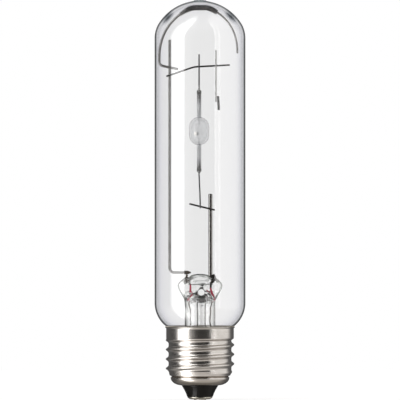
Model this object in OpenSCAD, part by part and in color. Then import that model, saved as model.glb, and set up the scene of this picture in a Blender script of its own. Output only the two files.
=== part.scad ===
// Grow lamp: tubular discharge lamp with a ceramic burner and a 27 mm screw cap.
// Millimetres. The origin is on the lamp's axis, at the crown of the centre contact.
// +Z runs up to the dome, X lies across the flat of the press, and -Y is the burner's front.

/* [Centre contact and insulator] */
// Diameter of the contact plate
contact_d = 9.54; // [8:0.1:11]
// Height of the contact, from its crown to the insulator
contact_h = 1.34; // [1:0.02:2]
// Diameter of the flat crown of solder
crown_d = 4; // [3:0.1:5]
// Thickness of the contact plate
contact_sheet = 0.4; // [0.3:0.05:0.6]
// Height of the insulator that shows between contact and shell
insulator_h = 4.4; // [3.5:0.1:6]
// How much the insulator's radius grows up to the shell
insulator_flare = 2.1; // [1:0.1:3]
// Diameter of the insulator's wire hole
insulator_hole = 1.8; // [1.4:0.1:2.4]

/* [Cap shell] */
// Crest diameter of the rolled thread
thread_d = 26.3; // [24:0.05:28]
// Height of the thread's wave, from root to crest
thread_depth = 1.05; // [0.6:0.05:1.3]
// Rise of the thread in one turn
thread_pitch = 3.629; // [3:0.001:4.2]
// Length of the threaded part
thread_len = 15.06; // [13:0.1:20]
// How sharp the crests are: 1 is a plain wave
crest_power = 1.5; // [1:0.1:2.5]
// Drop from the top of the threaded part to the last crest on the +X side
last_crest = 2.6; // [2:0.1:3.5]
// Thickness of the rolled sheet
shell_sheet = 0.4; // [0.3:0.02:0.5]
// Height of the rounded heel under the thread
heel_h = 3; // [2:0.1:4]
// Height of the plain band above the thread
band_h = 4.4; // [3:0.1:7]
// How much smaller the plain band's radius is than the crest's
band_inset = 0.18; // [0.1:0.01:0.4]
// How far the rim bead stands out from the band
bead_out = 0.38; // [0.2:0.02:0.6]
// Height of the rim bead
bead_h = 0.55; // [0.4:0.05:0.9]

/* [Outer bulb] */
// Outside diameter of the bulb
bulb_d = 34.8; // [32:0.1:40]
// Thickness of the bulb's glass
bulb_wall = 1.1; // [0.7:0.05:1.4]
// Radius of the round shoulder above the cap
shoulder_r = 11.4; // [9:0.1:13]
// Radius of the rounded corner of the dome
knuckle_r = 10.7; // [7:0.1:12]
// How much larger the dome's crown radius is than the bulb's radius
crown_extra = 1.3; // [0.5:0.1:5]
// Height of the sealed tip on the dome
tip_h = 0.6; // [0.3:0.05:1.5]
// Diameter of the sealed tip
tip_d = 4.8; // [3:0.1:6]
// Gap between the neck and the shell's inside, where the left lead wire comes up
neck_gap = 0.8; // [0.6:0.05:1.5]
// Length of the straight neck inside the cap
neck_len = 11.9; // [8:0.1:14]

/* [Glass stem] */
// Outside diameter of the stem's tube
stem_d = 11.7; // [10.5:0.1:13]
// Thickness of the stem's glass
stem_wall = 1; // [0.7:0.05:1.2]
// Height of the flare where the tube opens to the neck
flare_h = 5.5; // [4:0.1:8]
// Height where the tube begins to flatten into the press
press_start = 37.2; // [34:0.1:39]
// Height of the press from there to its widest place
press_rise = 6.9; // [6:0.1:9]
// Height of the press from its widest place to its top
press_cap = 4.3; // [3.5:0.1:6]
// Width of the press at its widest
press_w = 17.1; // [15:0.1:20]
// Width of the flat top of the press
press_top_w = 6.6; // [5:0.1:9]
// Thickness of the press
press_t = 5; // [4:0.1:6.5]
// How deep the solid glass hangs down inside the tube
bowl_h = 2.1; // [1:0.1:3]
// Diameter of the blow hole through the press
blow_d = 2.56; // [2:0.02:3]
// Outside diameter of the exhaust tube
exhaust_d = 3.2; // [2.8:0.1:3.8]
// Bore of the exhaust tube
exhaust_bore = 1.9; // [1.4:0.1:2.2]
// How far the exhaust tube stands to the right of the axis
exhaust_x = 0.45; // [0:0.05:0.8]
// How far the tipped end of the exhaust tube stays above the neck's lower end
exhaust_tip = 0.6; // [0.2:0.1:4]

/* [Lead wires] */
// Diameter of the seal wires in the press
seal_d = 0.6; // [0.4:0.05:0.8]
// Diameter of the outer lead wires
lead_d = 0.4; // [0.3:0.02:0.5]
// Distance from the axis to the left lead wire in the tube
left_lead_x = 3.64; // [3.2:0.02:4]
// Distance from the axis to the right lead wire in the tube
right_lead_x = 3.8; // [3.2:0.02:4]
// Diameter of the oxidised inner lead
inner_lead_d = 0.8; // [0.6:0.05:1]
// Distance from the axis to where that lead leaves the press on the left
inner_lead_x = 5; // [4.7:0.1:5.6]
// Diameter of the welds between that lead and the rods
foot_weld_d = 1.4; // [1.1:0.05:1.6]
// Length of the weld at the left rod's foot
foot_weld_len = 2.6; // [1.8:0.1:3.2]

/* [Frame] */
// Diameter of the left support rod
left_rod_d = 1.05; // [0.8:0.05:1.4]
// Distance from the axis to the left support rod
left_rod_x = 11.6; // [10.5:0.1:12.5]
// Inner radius of the bend at the left rod's foot
foot_bend = 1.3; // [0.8:0.1:2]
// Distance from the axis to the end of the left rod's foot
foot_end = 6.1; // [5.5:0.1:7]
// Gap between the left rod's foot line and the top of the press
foot_lift = 0.5; // [0.3:0.05:1]
// Diameter of the right support rod
right_rod_d = 1.5; // [1.2:0.05:1.8]
// Distance from the axis to the right support rod
right_rod_x = 3.9; // [3.5:0.1:4.5]
// How deep the right rod sits in the press
right_rod_grip = 3.2; // [2:0.1:4]
// How far the right rod stands above the lower cross wire
right_rod_over = 5.8; // [2:0.1:9]
// Diameter of the cross wires
cross_d = 0.6; // [0.4:0.05:0.8]
// How far the rods lie behind the lamp's middle plane
rod_y = 0.8; // [0.5:0.05:1]
// How far the upper cross wire runs past the left rod
upper_cross_left = 1.3; // [0.6:0.1:2]
// How far the upper cross wire runs past the getter holder
upper_cross_right = 5.3; // [2:0.1:6]
// Rise of the upper cross wire from the left rod to its bend
upper_cross_rise = 3.2; // [1:0.1:5]
// Distance from the axis to the upper cross wire's bend
upper_cross_bend = 2.3; // [1:0.1:5]
// How far the lower cross wire runs past the burner's lead
lower_cross_left = 4; // [1:0.1:6]
// How far the lower cross wire runs past the right rod
lower_cross_right = 1.7; // [1:0.1:3]
// Fall of the lower cross wire over its length, for each millimetre to the right
lower_cross_slope = 0.25; // [0:0.01:0.4]
// Diameter of the hoop wire
hoop_d = 0.66; // [0.5:0.02:0.8]
// Height of the hoop's weld above the upper cross wire's weld, on the left rod
hoop_over = 3; // [2:0.1:5]
// How far the hoop's tail runs past the left rod
hoop_tail = 3.2; // [1.5:0.1:5]
// Radius of the bend between the hoop's tail and its left side
hoop_bend = 1.8; // [1:0.1:2.5]
// Height from the hoop's weld to where its left side stands upright
hoop_left_rise = 3.8; // [2.5:0.1:6]
// Height from the hoop's weld to where its right side stands upright
hoop_right_rise = 6.2; // [3:0.1:8]
// How far the hoop's right end runs straight down below that
hoop_end = 0.8; // [0.2:0.1:3]
// Height of the hoop from its weld to its top
hoop_h = 22.8; // [20:0.1:28]
// Gap between the hoop's left side and the glass
hoop_gap = 0.37; // [0.2:0.01:1]
// How far the hoop's right side stays further in than its left
hoop_lean = 1.3; // [0.5:0.1:2]
// Length of the hoop's straight top
hoop_flat = 6.3; // [4:0.1:9]
// How far the left rod stands above the hoop's weld
left_rod_over = 10.6; // [6:0.1:12]
// Outside diameter of the coil spring on the hoop
coil_od = 2.07; // [1.9:0.01:2.4]
// Diameter of the coil spring's wire
coil_wire = 0.5; // [0.35:0.01:0.55]
// Number of turns of the coil spring
coil_turns = 27; // [20:1:28]
// How much wider the coil spring's last turns are, on its right
coil_spread = 0.9; // [0:0.1:1.2]
// Reach of the coil spring along the hoop, to the left of its middle
coil_left = 8.3; // [7:0.1:9]
// Reach of the coil spring along the hoop, to the right of its middle
coil_right = 6.9; // [6:0.1:8]
// Gap between the coil spring and the dome
coil_gap = 0.37; // [0.2:0.01:1]

/* [Burner] */
// Height of the burner's centre above the crown of the contact
light_centre = 103.1; // [98:0.1:115]
// Outside diameter of the burner body
burner_d = 7.7; // [6.5:0.1:9]
// Length of the burner body
burner_len = 11; // [10:0.1:14]
// Wall of the burner body
burner_wall = 0.7; // [0.5:0.05:1]
// How far the burner stands to the left of the axis
burner_x = 0.35; // [0:0.05:0.6]
// Outside diameter of the capillaries
capillary_d = 1.66; // [1.4:0.02:2]
// Bore of the capillaries
capillary_bore = 0.9; // [0.8:0.02:1]
// Length of a capillary outside the body
capillary_len = 9.9; // [7:0.1:12]
// Height of the frit's cone at a capillary's end
frit_cone = 1.5; // [0.8:0.1:2.5]
// How deep the frit runs into a capillary
frit_depth = 3.4; // [2:0.1:5]
// Diameter of the feedthrough core in a capillary
core_d = 0.7; // [0.5:0.02:0.74]
// Diameter of an electrode's coil-wound head
electrode_head_d = 1.1; // [0.8:0.05:1.4]
// Length of an electrode's head
electrode_head_len = 1.8; // [1:0.1:2.5]
// Diameter of the burner leads
burner_lead_d = 0.52; // [0.4:0.02:0.6]
// Length of the upper burner lead, from the capillary to the upper cross wire
upper_lead_len = 9.3; // [7:0.1:12]
// How far the upper burner lead stands above the upper cross wire
upper_lead_over = 4.7; // [2:0.1:6]
// Length of the lower burner lead, from the capillary to the lower cross wire
lower_lead_len = 13.45; // [10:0.1:18]
// Diameter of the dose bead
dose_d = 1.5; // [1:0.05:1.8]

/* [Getter] */
// Distance from the axis to the getter holder
getter_x = 6.1; // [5.5:0.1:7.5]
// Diameter of the getter holder's wire
getter_wire = 0.5; // [0.4:0.02:0.6]
// How far the holder stands above the upper cross wire
getter_over = 6.3; // [3:0.1:7]
// How far the holder hangs below the upper cross wire
getter_drop = 13.5; // [9:0.1:15]
// Length of the getter strip
getter_len = 5.2; // [4:0.1:7]
// Width of the getter strip, front to back
getter_w = 4; // [3:0.1:6]
// Thickness of the getter strip
getter_t = 0.6; // [0.4:0.05:0.9]

/* [Hidden] */

touch = 0.02;          // gap between wires that are welded side by side
fit = 0.05;            // gap between a piece and the hollow that holds it
round_fn = 96;         // facets of a full turn
thread_fn = 42;        // columns around the thread
thread_rows = 7;       // rows in one pitch
wire_fn = 10;          // sides of a bent wire
stem_fn = 32;          // sides of the stem

// Cap, from the contact up
shell_bottom = contact_h + insulator_h;
heel_top = shell_bottom + heel_h;
thread_top = heel_top + thread_len;
rim_top = thread_top + band_h;
crest_r = thread_d / 2;
root_r = crest_r - thread_depth;
band_r = crest_r - band_inset;
bead_r = band_r + bead_out;
insulator_r = contact_d / 2 + 0.23;
lip_r = insulator_r + insulator_flare;   // shell's lower edge, where the insulator comes out
heel_r = root_r - 0.75;

// Outer bulb
bulb_r = bulb_d / 2;
bulb_ri = bulb_r - bulb_wall;
neck_r = root_r - shell_sheet - neck_gap;
shoulder_x = bulb_r - shoulder_r;
rim_touch = bead_r - shell_sheet - fit;  // glass radius where it passes the rim's inner edge
shoulder_z = rim_top + sqrt(pow(shoulder_r, 2) - pow(rim_touch - shoulder_x, 2));
neck_top = shoulder_z - sqrt(pow(shoulder_r, 2) - pow(neck_r - shoulder_x, 2));
neck_end = neck_top - neck_len;
crown_r = bulb_r + crown_extra;
knuckle_x = bulb_r - knuckle_r;
dome_h = crown_r - sqrt(pow(crown_r - knuckle_r, 2) - pow(knuckle_x, 2));
crown_angle = asin(knuckle_x / (crown_r - knuckle_r));

// Press
press_wide_z = press_start + press_rise;
press_top = press_wide_z + press_cap;
bowl_edge = press_start + 1.8;
bowl_z = bowl_edge - bowl_h;
blow_z = press_wide_z - 2.8;

// Burner
burner_low = light_centre - burner_len / 2;
burner_high = light_centre + burner_len / 2;
low_end = burner_low - capillary_len;
high_end = burner_high + capillary_len;

// Frame: what touches lies side by side, front to back
upper_cross_y = rod_y - left_rod_d / 2 - cross_d / 2 - touch;
lower_cross_y = rod_y - right_rod_d / 2 - cross_d / 2 - touch;
hoop_y = rod_y - left_rod_d / 2 - hoop_d / 2 - touch;
burner_y = upper_cross_y - cross_d / 2 - burner_lead_d / 2 - touch;
lower_weld_y = lower_cross_y - cross_d / 2 - burner_lead_d / 2 - touch;
getter_y = upper_cross_y - cross_d / 2 - getter_wire / 2 - touch;
upper_cross_z = high_end + upper_lead_len;
upper_cross_low = upper_cross_z - upper_cross_rise - 0.1;   // at the left rod
lower_cross_z = low_end - lower_lead_len;
lower_cross_low = lower_cross_z - lower_cross_slope * right_rod_x;   // at the right rod
right_inner_y = rod_y - right_rod_d / 2 - foot_weld_d / 2 - touch;
foot_z = press_top + foot_lift;
hoop_z = upper_cross_low + hoop_over;
left_rod_top = hoop_z + left_rod_over;
hoop_top = hoop_z + hoop_h;
hoop_left = bulb_ri - hoop_gap - hoop_d / 2;
hoop_right = hoop_left - hoop_lean;
hoop_left_z = hoop_z + hoop_left_rise;
hoop_right_z = hoop_z + hoop_right_rise;
dome_top = hoop_top + coil_od / 2 + coil_gap + bulb_wall;
dome_z = dome_top - dome_h;

// ---- helpers ----

function unit(v) = v / norm(v);

// Points of an arc about c
function arc(c, r, a0, a1, n) =
    [for (i = [0:n]) let (a = a0 + (a1 - a0) * i / n) c + r * [cos(a), sin(a)]];

// Smooth step from 0 at a to 1 at b
function ease(a, b, x) = let (t = max(0, min(1, (x - a) / (b - a)))) t * t * (3 - 2 * t);

// A path whose corners are rounded over a distance r
function rounded(path, r, n = 4) = [
    path[0],
    for (i = [1:len(path) - 2])
        let (v = path[i], a = path[i - 1] - v, b = path[i + 1] - v,
             p = v + unit(a) * min(r, norm(a) / 2), q = v + unit(b) * min(r, norm(b) / 2))
        for (k = [0:n]) let (t = k / n) (1 - t) * (1 - t) * p + 2 * t * (1 - t) * v + t * t * q,
    path[len(path) - 1]
];

// Solid through a stack of rings with equal point counts; closed joins the last to the first
module skin(rings, closed = false) {
    n = len(rings[0]);
    m = len(rings);
    sides = [for (i = [0:m - (closed ? 1 : 2)]) for (j = [0:n - 1])
        let (a = i * n + j, b = i * n + (j + 1) % n,
             c = ((i + 1) % m) * n + j, d = ((i + 1) % m) * n + (j + 1) % n)
        each [[a, c, b], [b, c, d]]];
    ends = closed ? [] : [[for (j = [0:n - 1]) j], [for (j = [n - 1:-1:0]) (m - 1) * n + j]];
    polyhedron([for (r = rings) each r], concat(sides, ends), convexity = 8);
}

// Round wire along a path that never runs front to back; d is one size or one for each point
module wire(path, d, sides = wire_fn) {
    last = len(path) - 1;
    skin([for (i = [0:last])
        let (t = unit(path[min(i + 1, last)] - path[max(i - 1, 0)]),
             u = unit(cross([0, 1, 0], t)), v = cross(t, u), r = (is_list(d) ? d[i] : d) / 2)
        [for (j = [0:sides - 1]) let (a = 360 * j / sides) path[i] + r * (u * cos(a) + v * sin(a))]]);
}

module lathe(profile) rotate_extrude($fn = round_fn) polygon(profile);

// Upright rod from one height to another
module post(x, y, z0, z1, d) translate([x, y, z0]) cylinder(d = d, h = z1 - z0, $fn = 48);

// ---- cap ----

// Flat-topped solder on the plate, with a plug through its hole
module contact_solder() {
    plug = insulator_hole / 2 - 0.1;
    face = contact_h - contact_sheet - 0.55;
    color("lightgray") lathe([[0, 0], [crown_d / 2, 0], [crown_d / 2 + 0.3, 0.12],
        [crown_d / 2 + 0.45, face], [plug, face], [plug, contact_h], [0, contact_h]]);
}

// Dished plate with a turned-up edge
module contact_plate() {
    r = contact_d / 2;
    hole = insulator_hole / 2 - 0.1;
    face = contact_h - contact_sheet - 0.55;
    color("goldenrod") lathe(concat([[hole, face]],
        arc([r - 1.2, face + 0.95], 0.95, -90, -50, 3), [[r - 0.1, face + 0.5], [r, contact_h - 0.15],
        [r, contact_h]], [[hole, contact_h]]));
}

// Black glass, bell-shaped outside, with the wire's hole down the middle
module cap_insulator() {
    steps = 6;
    color("black") lathe(concat([[insulator_hole / 2, contact_h]],
        [for (i = [0:steps]) [insulator_r + insulator_flare * pow(i / steps, 1.3),
                              contact_h + 0.05 + (insulator_h - 0.05) * i / steps]],
        [[lip_r, shell_bottom + shell_sheet + fit]],
        [for (a = heel_angles) if (a > 0) heel(a, shell_sheet + fit)],
        [[insulator_hole / 2, heel_top - heel_h * cos(80)]]));
}

// Outline of the shell's rounded heel, from its lip (0) to the thread (90), inset from its outside
heel_angles = [0, 16, 32, 48, 64, 80];
function heel(a, inset) =
    [lip_r + fit + (heel_r - lip_r - fit - inset) * sin(a), heel_top - (heel_h - inset) * cos(a)];

// Radius of the threaded part at an angle and a height
function wave(p) = pow((1 + cos(360 * p)) / 2, crest_power);
function thread_r(angle, z) =
    let (p = (z - (thread_top - last_crest)) / thread_pitch - angle / 360,
         foot = ease(heel_top, heel_top + 1.6, z),
         head = ease(thread_top - 0.9, thread_top, z))
    (1 - head) * (heel_r + 0.15 + (root_r - heel_r - 0.15) * foot
                  + thread_depth * foot * wave(p)) + head * band_r;

function turn(r, z) = [for (j = [0:thread_fn - 1]) let (a = 360 * j / thread_fn)
    [r * cos(a), r * sin(a), z]];
function thread_ring(z, inset) = [for (j = [0:thread_fn - 1])
    let (a = 360 * j / thread_fn, r = thread_r(a, z) - inset) [r * cos(a), r * sin(a), z]];

// Rolled sheet: heel with its groove, right-hand thread, plain band and rim bead
module cap_shell() {
    row = thread_pitch / thread_rows;
    rows = [for (z = [heel_top + 0.2:row:thread_top - 0.1]) z];
    bead_z = rim_top - bead_h;
    outer = concat(
        [for (a = heel_angles) let (p = heel(a, 0)) turn(p[0], p[1])],
        [turn(heel_r - 0.15, heel_top)],
        [for (z = rows) thread_ring(z, 0)],
        [turn(band_r, thread_top), turn(band_r, bead_z), turn(bead_r, bead_z + 0.12),
         turn(bead_r, rim_top - 0.12), turn(bead_r - 0.12, rim_top)]);
    inner = concat(
        [turn(bead_r - shell_sheet, rim_top), turn(band_r - shell_sheet, bead_z + 0.1),
         turn(band_r - shell_sheet, thread_top)],
        [for (i = [len(rows) - 1:-1:0]) thread_ring(rows[i], shell_sheet)],
        [for (i = [len(heel_angles) - 1:-1:0])
            let (p = heel(heel_angles[i], shell_sheet)) turn(p[0], p[1])]);
    color("silver") skin(concat(outer, inner), closed = true);
}

// Ring of cement between the neck and the band, up to the rim
module cap_cement() {
    low = root_r - shell_sheet - fit;
    high = band_r - shell_sheet - fit;
    top = rim_top - bead_h;
    r = shoulder_r + fit;
    a0 = -acos((neck_r + fit - shoulder_x) / r);
    a1 = -asin((shoulder_z - top) / r);
    color("tan") lathe(concat([[neck_r + fit, thread_top - 1.5], [low, thread_top - 1.5],
        [low, thread_top - 0.2], [high, thread_top + 0.3], [high, top]],
        arc([shoulder_x, shoulder_z], r, a1, a0, 4)));
}

// ---- bulb ----

// Half outline of the bulb, inset by its wall for the inside
function bulb_outline(inset) = concat(
    [[neck_r - inset, neck_end]],
    arc([shoulder_x, shoulder_z], shoulder_r - inset,
        -acos((neck_r - inset - shoulder_x) / (shoulder_r - inset)), 0, 10),
    arc([knuckle_x, dome_z], knuckle_r - inset, 0, 90 - crown_angle, 10),
    arc([0, dome_top - crown_r], crown_r - inset, 90 - crown_angle, 90, 8));

module outer_bulb() {
    inside = bulb_outline(bulb_wall);
    color("azure", 0.3) {
        lathe(concat(bulb_outline(0), [for (i = [len(inside) - 1:-1:0]) inside[i]]));
        bulb_tip();
    }
}

// Low round button left where the bulb was sealed
module bulb_tip() {
    r = tip_d / 2;
    sink = 0.3;
    lathe([[0, dome_top - sink], [r - 0.1, dome_top - sink], for (a = [0:15:90])
        [r * cos(a), dome_top - sink / 2 + (tip_h + sink / 2) * sin(a)]]);
}

// ---- stem ----

// Ring of the stem's glass: round at n = 2, squarer as n grows
function stem_ring(w, d, z, n = 2) = [for (j = [0:stem_fn - 1])
    let (a = 360 * (j + 0.5) / stem_fn, c = cos(a), s = sin(a))
    [w / 2 * sign(c) * pow(abs(c), 2 / n), d / 2 * sign(s) * pow(abs(s), 2 / n), z]];

// Press: k runs from 0 at the round tube to 1 at the widest place
function press_ring(k) = let (t = ease(0, 1, k))
    stem_ring(stem_d + (press_w - stem_d) * t, stem_d + (press_t - stem_d) * t,
              press_start + press_rise * k, 2 + 1.6 * t);
function press_cap_ring(k) =
    stem_ring(press_top_w + (press_w - press_top_w) * (1 - pow(k, 1.6)),
              press_t * (1 - 0.35 * pow(k, 4)), press_wide_z + press_cap * k, 3.6);

module glass_stem() {
    bore = stem_d - 2 * stem_wall;
    rim = 2 * (neck_r - bulb_wall);
    flare = 5;
    under = [for (i = [flare:-1:0]) let (a = 90 * i / flare)
        stem_ring(bore + (rim - bore) * (1 - sin(a)), bore + (rim - bore) * (1 - sin(a)),
                  neck_end - stem_wall + flare_h * (1 - cos(a)))];
    over = [for (i = [0:flare]) let (a = 90 * i / flare)
        stem_ring(stem_d + (rim - stem_d) * (1 - sin(a)), stem_d + (rim - stem_d) * (1 - sin(a)),
                  neck_end + flare_h * (1 - cos(a)))];
    hollow = [stem_ring(2 * exhaust_x + exhaust_d + 0.4, 2 * exhaust_x + exhaust_d + 0.4, bowl_z),
              stem_ring(bore * 0.8, bore * 0.75, bowl_z + bowl_h * 0.4),
              stem_ring(bore * 1.04, bore * 0.92, bowl_edge),
              stem_ring(bore, bore, press_start)];
    color("azure", 0.5) difference() {
        skin(concat(hollow, under,
            [stem_ring(2 * neck_r - 0.4, 2 * neck_r - 0.4, neck_end - stem_wall),
             stem_ring(2 * neck_r, 2 * neck_r, neck_end - stem_wall + 0.2),
             stem_ring(2 * neck_r, 2 * neck_r, neck_end)], over,
            [for (i = [0:8]) press_ring(i / 8)], [for (i = [1:6]) press_cap_ring(i / 6)]));
        translate([exhaust_x, 0, blow_z]) rotate([90, 0, 0])
            cylinder(d = blow_d, h = press_t + 4, center = true, $fn = 32);
        post(exhaust_x, 0, bowl_z - 1, blow_z, exhaust_bore);
        wire(left_inner_path, inner_lead_d);
        wire(right_inner_path, right_inner_size);
        wire(left_seal_path, seal_d);
        wire(right_seal_path, seal_d);
        post(right_rod_x, rod_y, press_top - right_rod_grip, press_top + 1, right_rod_d);
    }
}

// Thin tube from the press down to its tipped-off end in the cap
module exhaust_tube() {
    r = exhaust_d / 2;
    low = neck_end + exhaust_tip;
    color("azure", 0.5) translate([exhaust_x, 0, 0]) lathe(concat(
        [[0, low], for (a = [-75:15:0]) [r * cos(a), low + r + r * sin(a)]],
        [[r, bowl_z], [exhaust_bore / 2, bowl_z], [exhaust_bore / 2, low + 2 * r],
         [0, low + 1.4 * r]]));
}

// ---- leads in the press and in the cap ----

seal_end = bowl_edge - 1.35;    // where the seal wires come out under the press
left_inner_path = concat(rounded([[-inner_lead_x, rod_y, foot_z - foot_weld_d / 2 - 3 * touch],
    [-inner_lead_x - 0.1, rod_y, press_top - 1], [-inner_lead_x - 0.4, rod_y * 0.7, press_top - 2],
    [-left_lead_x, 0, press_wide_z + 0.6]], 0.7),
    [[-left_lead_x, 0, press_wide_z]]);
left_seal_path = [[-left_lead_x, 0, press_wide_z - touch], [-left_lead_x, 0, blow_z - 0.4],
    [-left_lead_x - 0.5, 0, seal_end + 0.8], [-left_lead_x - 0.5, 0, seal_end]];
right_inner_path = rounded([[right_rod_x + 1.1, right_inner_y, press_top - 0.4],
    [right_rod_x + 1.5, right_inner_y, press_top - 1.8], [right_rod_x + 0.3, right_inner_y, press_wide_z],
    [right_rod_x + 0.3, right_inner_y, blow_z + 1.8]], 0.8);
right_inner_size = [for (i = [0:len(right_inner_path) - 1])
    i < 6 ? foot_weld_d - 0.03 * i : inner_lead_d - 0.1];
right_seal_path = [[right_rod_x + 0.3, right_inner_y, blow_z + 1.8 - touch],
    [right_rod_x + 0.3, right_inner_y, blow_z + 1.2], [right_rod_x + 0.7, right_inner_y, blow_z - 0.4],
    [right_lead_x + 0.4, 0, seal_end + 0.8], [right_lead_x + 0.4, 0, seal_end]];

module left_inner_lead() color("dimgray") wire(left_inner_path, inner_lead_d);

// Oxidised sleeve of weld at the end of the left rod's foot, drawn out to a point
module left_foot_weld() color("dimgray") translate([-foot_end + touch, rod_y, foot_z])
    rotate([0, 90, 0]) lathe([[0, 0], [foot_weld_d / 2, 0], [foot_weld_d / 2, foot_weld_len * 0.55],
        [foot_weld_d / 4, foot_weld_len], [0, foot_weld_len]]);

module right_inner_lead() color("dimgray") wire(right_inner_path, right_inner_size);
module left_seal_wire() color("firebrick") wire(left_seal_path, seal_d);
module right_seal_wire() color("firebrick") wire(right_seal_path, seal_d);

// Down the tube, under the neck's seal and up beside the neck to the inside of the shell
module left_lead_wire() {
    beside = (neck_r + root_r - shell_sheet) / 2;
    under = neck_end - stem_wall - 0.8;
    color("rosybrown") wire(rounded([[-left_lead_x - 0.5, 0, seal_end - touch],
        [-left_lead_x - 0.5, 0, seal_end - 0.4], [-left_lead_x, 0, seal_end - 2.5], [-left_lead_x, 0, under],
        [-beside, 0, under], [-beside, 0, thread_top - 2.5]], 0.8), lead_d);
}

// Down the tube, below the exhaust tip and through the insulator to the contact's solder
module right_lead_wire() color("darkkhaki") wire(rounded([
    [right_lead_x + 0.4, 0, seal_end - touch], [right_lead_x + 0.4, 0, seal_end - 0.4],
    [right_lead_x, 0, seal_end - 2.5],
    [right_lead_x, 0, neck_end - 2], [0, 0, neck_end - 3.4],
    [0, 0, contact_h + touch]], 1.2), lead_d);

// ---- frame ----

// Upright rod with its foot bent in toward the press
module left_support_rod() {
    r = left_rod_d / 2;
    bend = foot_bend + r;
    foot = left_rod_x - bend - foot_end;
    color("silver") translate([-left_rod_x, rod_y, foot_z]) {
        translate([0, 0, bend]) cylinder(r = r, h = left_rod_top - foot_z - bend, $fn = 48);
        translate([bend, 0, bend]) rotate([90, 0, 0])
            rotate_extrude(angle = 90, start = 180, $fn = 48) translate([bend, 0]) circle(r, $fn = 48);
        translate([bend, 0, 0]) rotate([0, 90, 0]) cylinder(r = r, h = foot, $fn = 48);
    }
}

module right_support_rod() color("silver")
    post(right_rod_x, rod_y, press_top - right_rod_grip, lower_cross_low + right_rod_over,
         right_rod_d);

module lower_cross_wire() color("silver") wire([for (x = [-lower_cross_left, 0, right_rod_x,
    right_rod_x + lower_cross_right]) [x, lower_cross_y, lower_cross_z - lower_cross_slope * x]], cross_d);

module upper_cross_wire() color("silver") wire(rounded([
    [-left_rod_x - upper_cross_left, upper_cross_y, upper_cross_low - 0.3 * upper_cross_left],
    [-left_rod_x, upper_cross_y, upper_cross_low],
    [-upper_cross_bend, upper_cross_y, upper_cross_low + upper_cross_rise],
    [getter_x + upper_cross_right, upper_cross_y, upper_cross_z + 0.12 * upper_cross_right]],
    upper_cross_left), cross_d);

// Arc that stands upright at [side, z] and ends at the hoop's flat top, on the same side
function hoop_side(side, z, n) =
    let (w = abs(side) - hoop_flat / 2, h = hoop_top - z, r = (w * w + h * h) / (2 * w),
         dir = sign(side), span = asin(h / r))
    [for (i = [0:n]) [side - dir * r * (1 - cos(span * i / n)), hoop_y, z + r * sin(span * i / n)]];

function reversed(list) = [for (i = [len(list) - 1:-1:0]) list[i]];
function between(list, a, b) = [for (i = [a:b]) list[i]];

// Point at a distance along a path
function along(path, s, i = 0) = let (d = norm(path[i + 1] - path[i]))
    s <= d || i >= len(path) - 2 ? path[i] + (path[i + 1] - path[i]) * s / d
                                 : along(path, s - d, i + 1);

hoop_left_arc = hoop_side(-hoop_left, hoop_left_z, 9);
hoop_right_arc = reversed(hoop_side(hoop_right, hoop_right_z, 9));
hoop_crown = rounded([hoop_left_arc[8], hoop_left_arc[9], hoop_right_arc[0], hoop_right_arc[1]], 1.2, 4);

module top_hoop() {
    corner = hoop_left - left_rod_x;
    tail = rounded([[-left_rod_x + hoop_tail, hoop_y, hoop_z - 0.2 * hoop_tail],
        [-left_rod_x, hoop_y, hoop_z], [-hoop_left, hoop_y, hoop_z + 0.2 * corner],
        hoop_left_arc[0]], hoop_bend);
    color("silver") wire(concat(tail, between(hoop_left_arc, 1, 7), hoop_crown,
        between(hoop_right_arc, 2, 9), [[hoop_right, hoop_y, hoop_right_z - hoop_end]]), hoop_d);
}

// Close-wound spring that rides on the hoop and steadies it in the dome
module hoop_coil_spring() {
    steps = 8;
    sides = 6;
    count = coil_turns * steps;
    path = concat(between(hoop_left_arc, 5, 7), hoop_crown, between(hoop_right_arc, 2, 4));
    to_flat = norm(path[1] - path[0]) * 4;
    middle = to_flat + hoop_flat / 2;
    color("dimgray") skin([for (i = [0:count])
        let (k = i / count, s = middle - coil_left + (coil_left + coil_right) * k, c = along(path, s),
             t = unit(along(path, s + 0.4) - along(path, s - 0.4)), n = cross([0, 1, 0], t),
             p = 360 * i / steps, out = n * cos(p) + [0, 1, 0] * sin(p),
             r = (coil_od - coil_wire + coil_spread * pow(ease(0.82, 1.05, k), 1)) / 2)
        [for (j = [0:sides - 1]) let (b = -360 * j / sides)
            c + out * (r + coil_wire / 2 * cos(b)) + t * (coil_wire / 2 * sin(b))]]);
}

// ---- getter ----

module getter_holder() color("silver")
    post(getter_x, getter_y, upper_cross_z - getter_drop, upper_cross_z + getter_over, getter_wire);

// Strip that is folded back at its foot, welded beside the holder's lower end
module getter_strip() {
    top = upper_cross_z - getter_drop + 2;
    lean = 7;
    color("dimgray") translate([getter_x + getter_wire / 2 + touch, getter_y + getter_w / 2, top])
        rotate([90, 0, 0]) linear_extrude(getter_w) rotate(lean) polygon([[0.1, 0.1], [0.1 + getter_t, 0.1],
            [0.1 + getter_t, 0.8 - getter_len], [getter_t - 0.3, 0.1 - getter_len],
            [-0.2, 0.1 - getter_len], [-0.2, 0.4 - getter_len], [0.1, 1 - getter_len]]);
}

// ---- burner ----

// Everything in the burner stands on its own axis
module at_burner() translate([-burner_x, burner_y, 0]) children();

// Half outline of the body, inset by its wall for the inside
function body_outline(inset, hole) = let (r = burner_d / 2 - inset, edge = asin(hole / r),
        low = burner_low + burner_d / 2, high = burner_high - burner_d / 2)
    concat(arc([0, low], r, edge - 90, 0, 8), arc([0, high], r, 0, 90 - edge, 8));

module burner_body() {
    hole = capillary_d / 2;
    inside = body_outline(burner_wall, hole);
    color("gainsboro") at_burner() lathe(concat(body_outline(0, hole),
        [for (i = [len(inside) - 1:-1:0]) inside[i]]));
}

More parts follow.
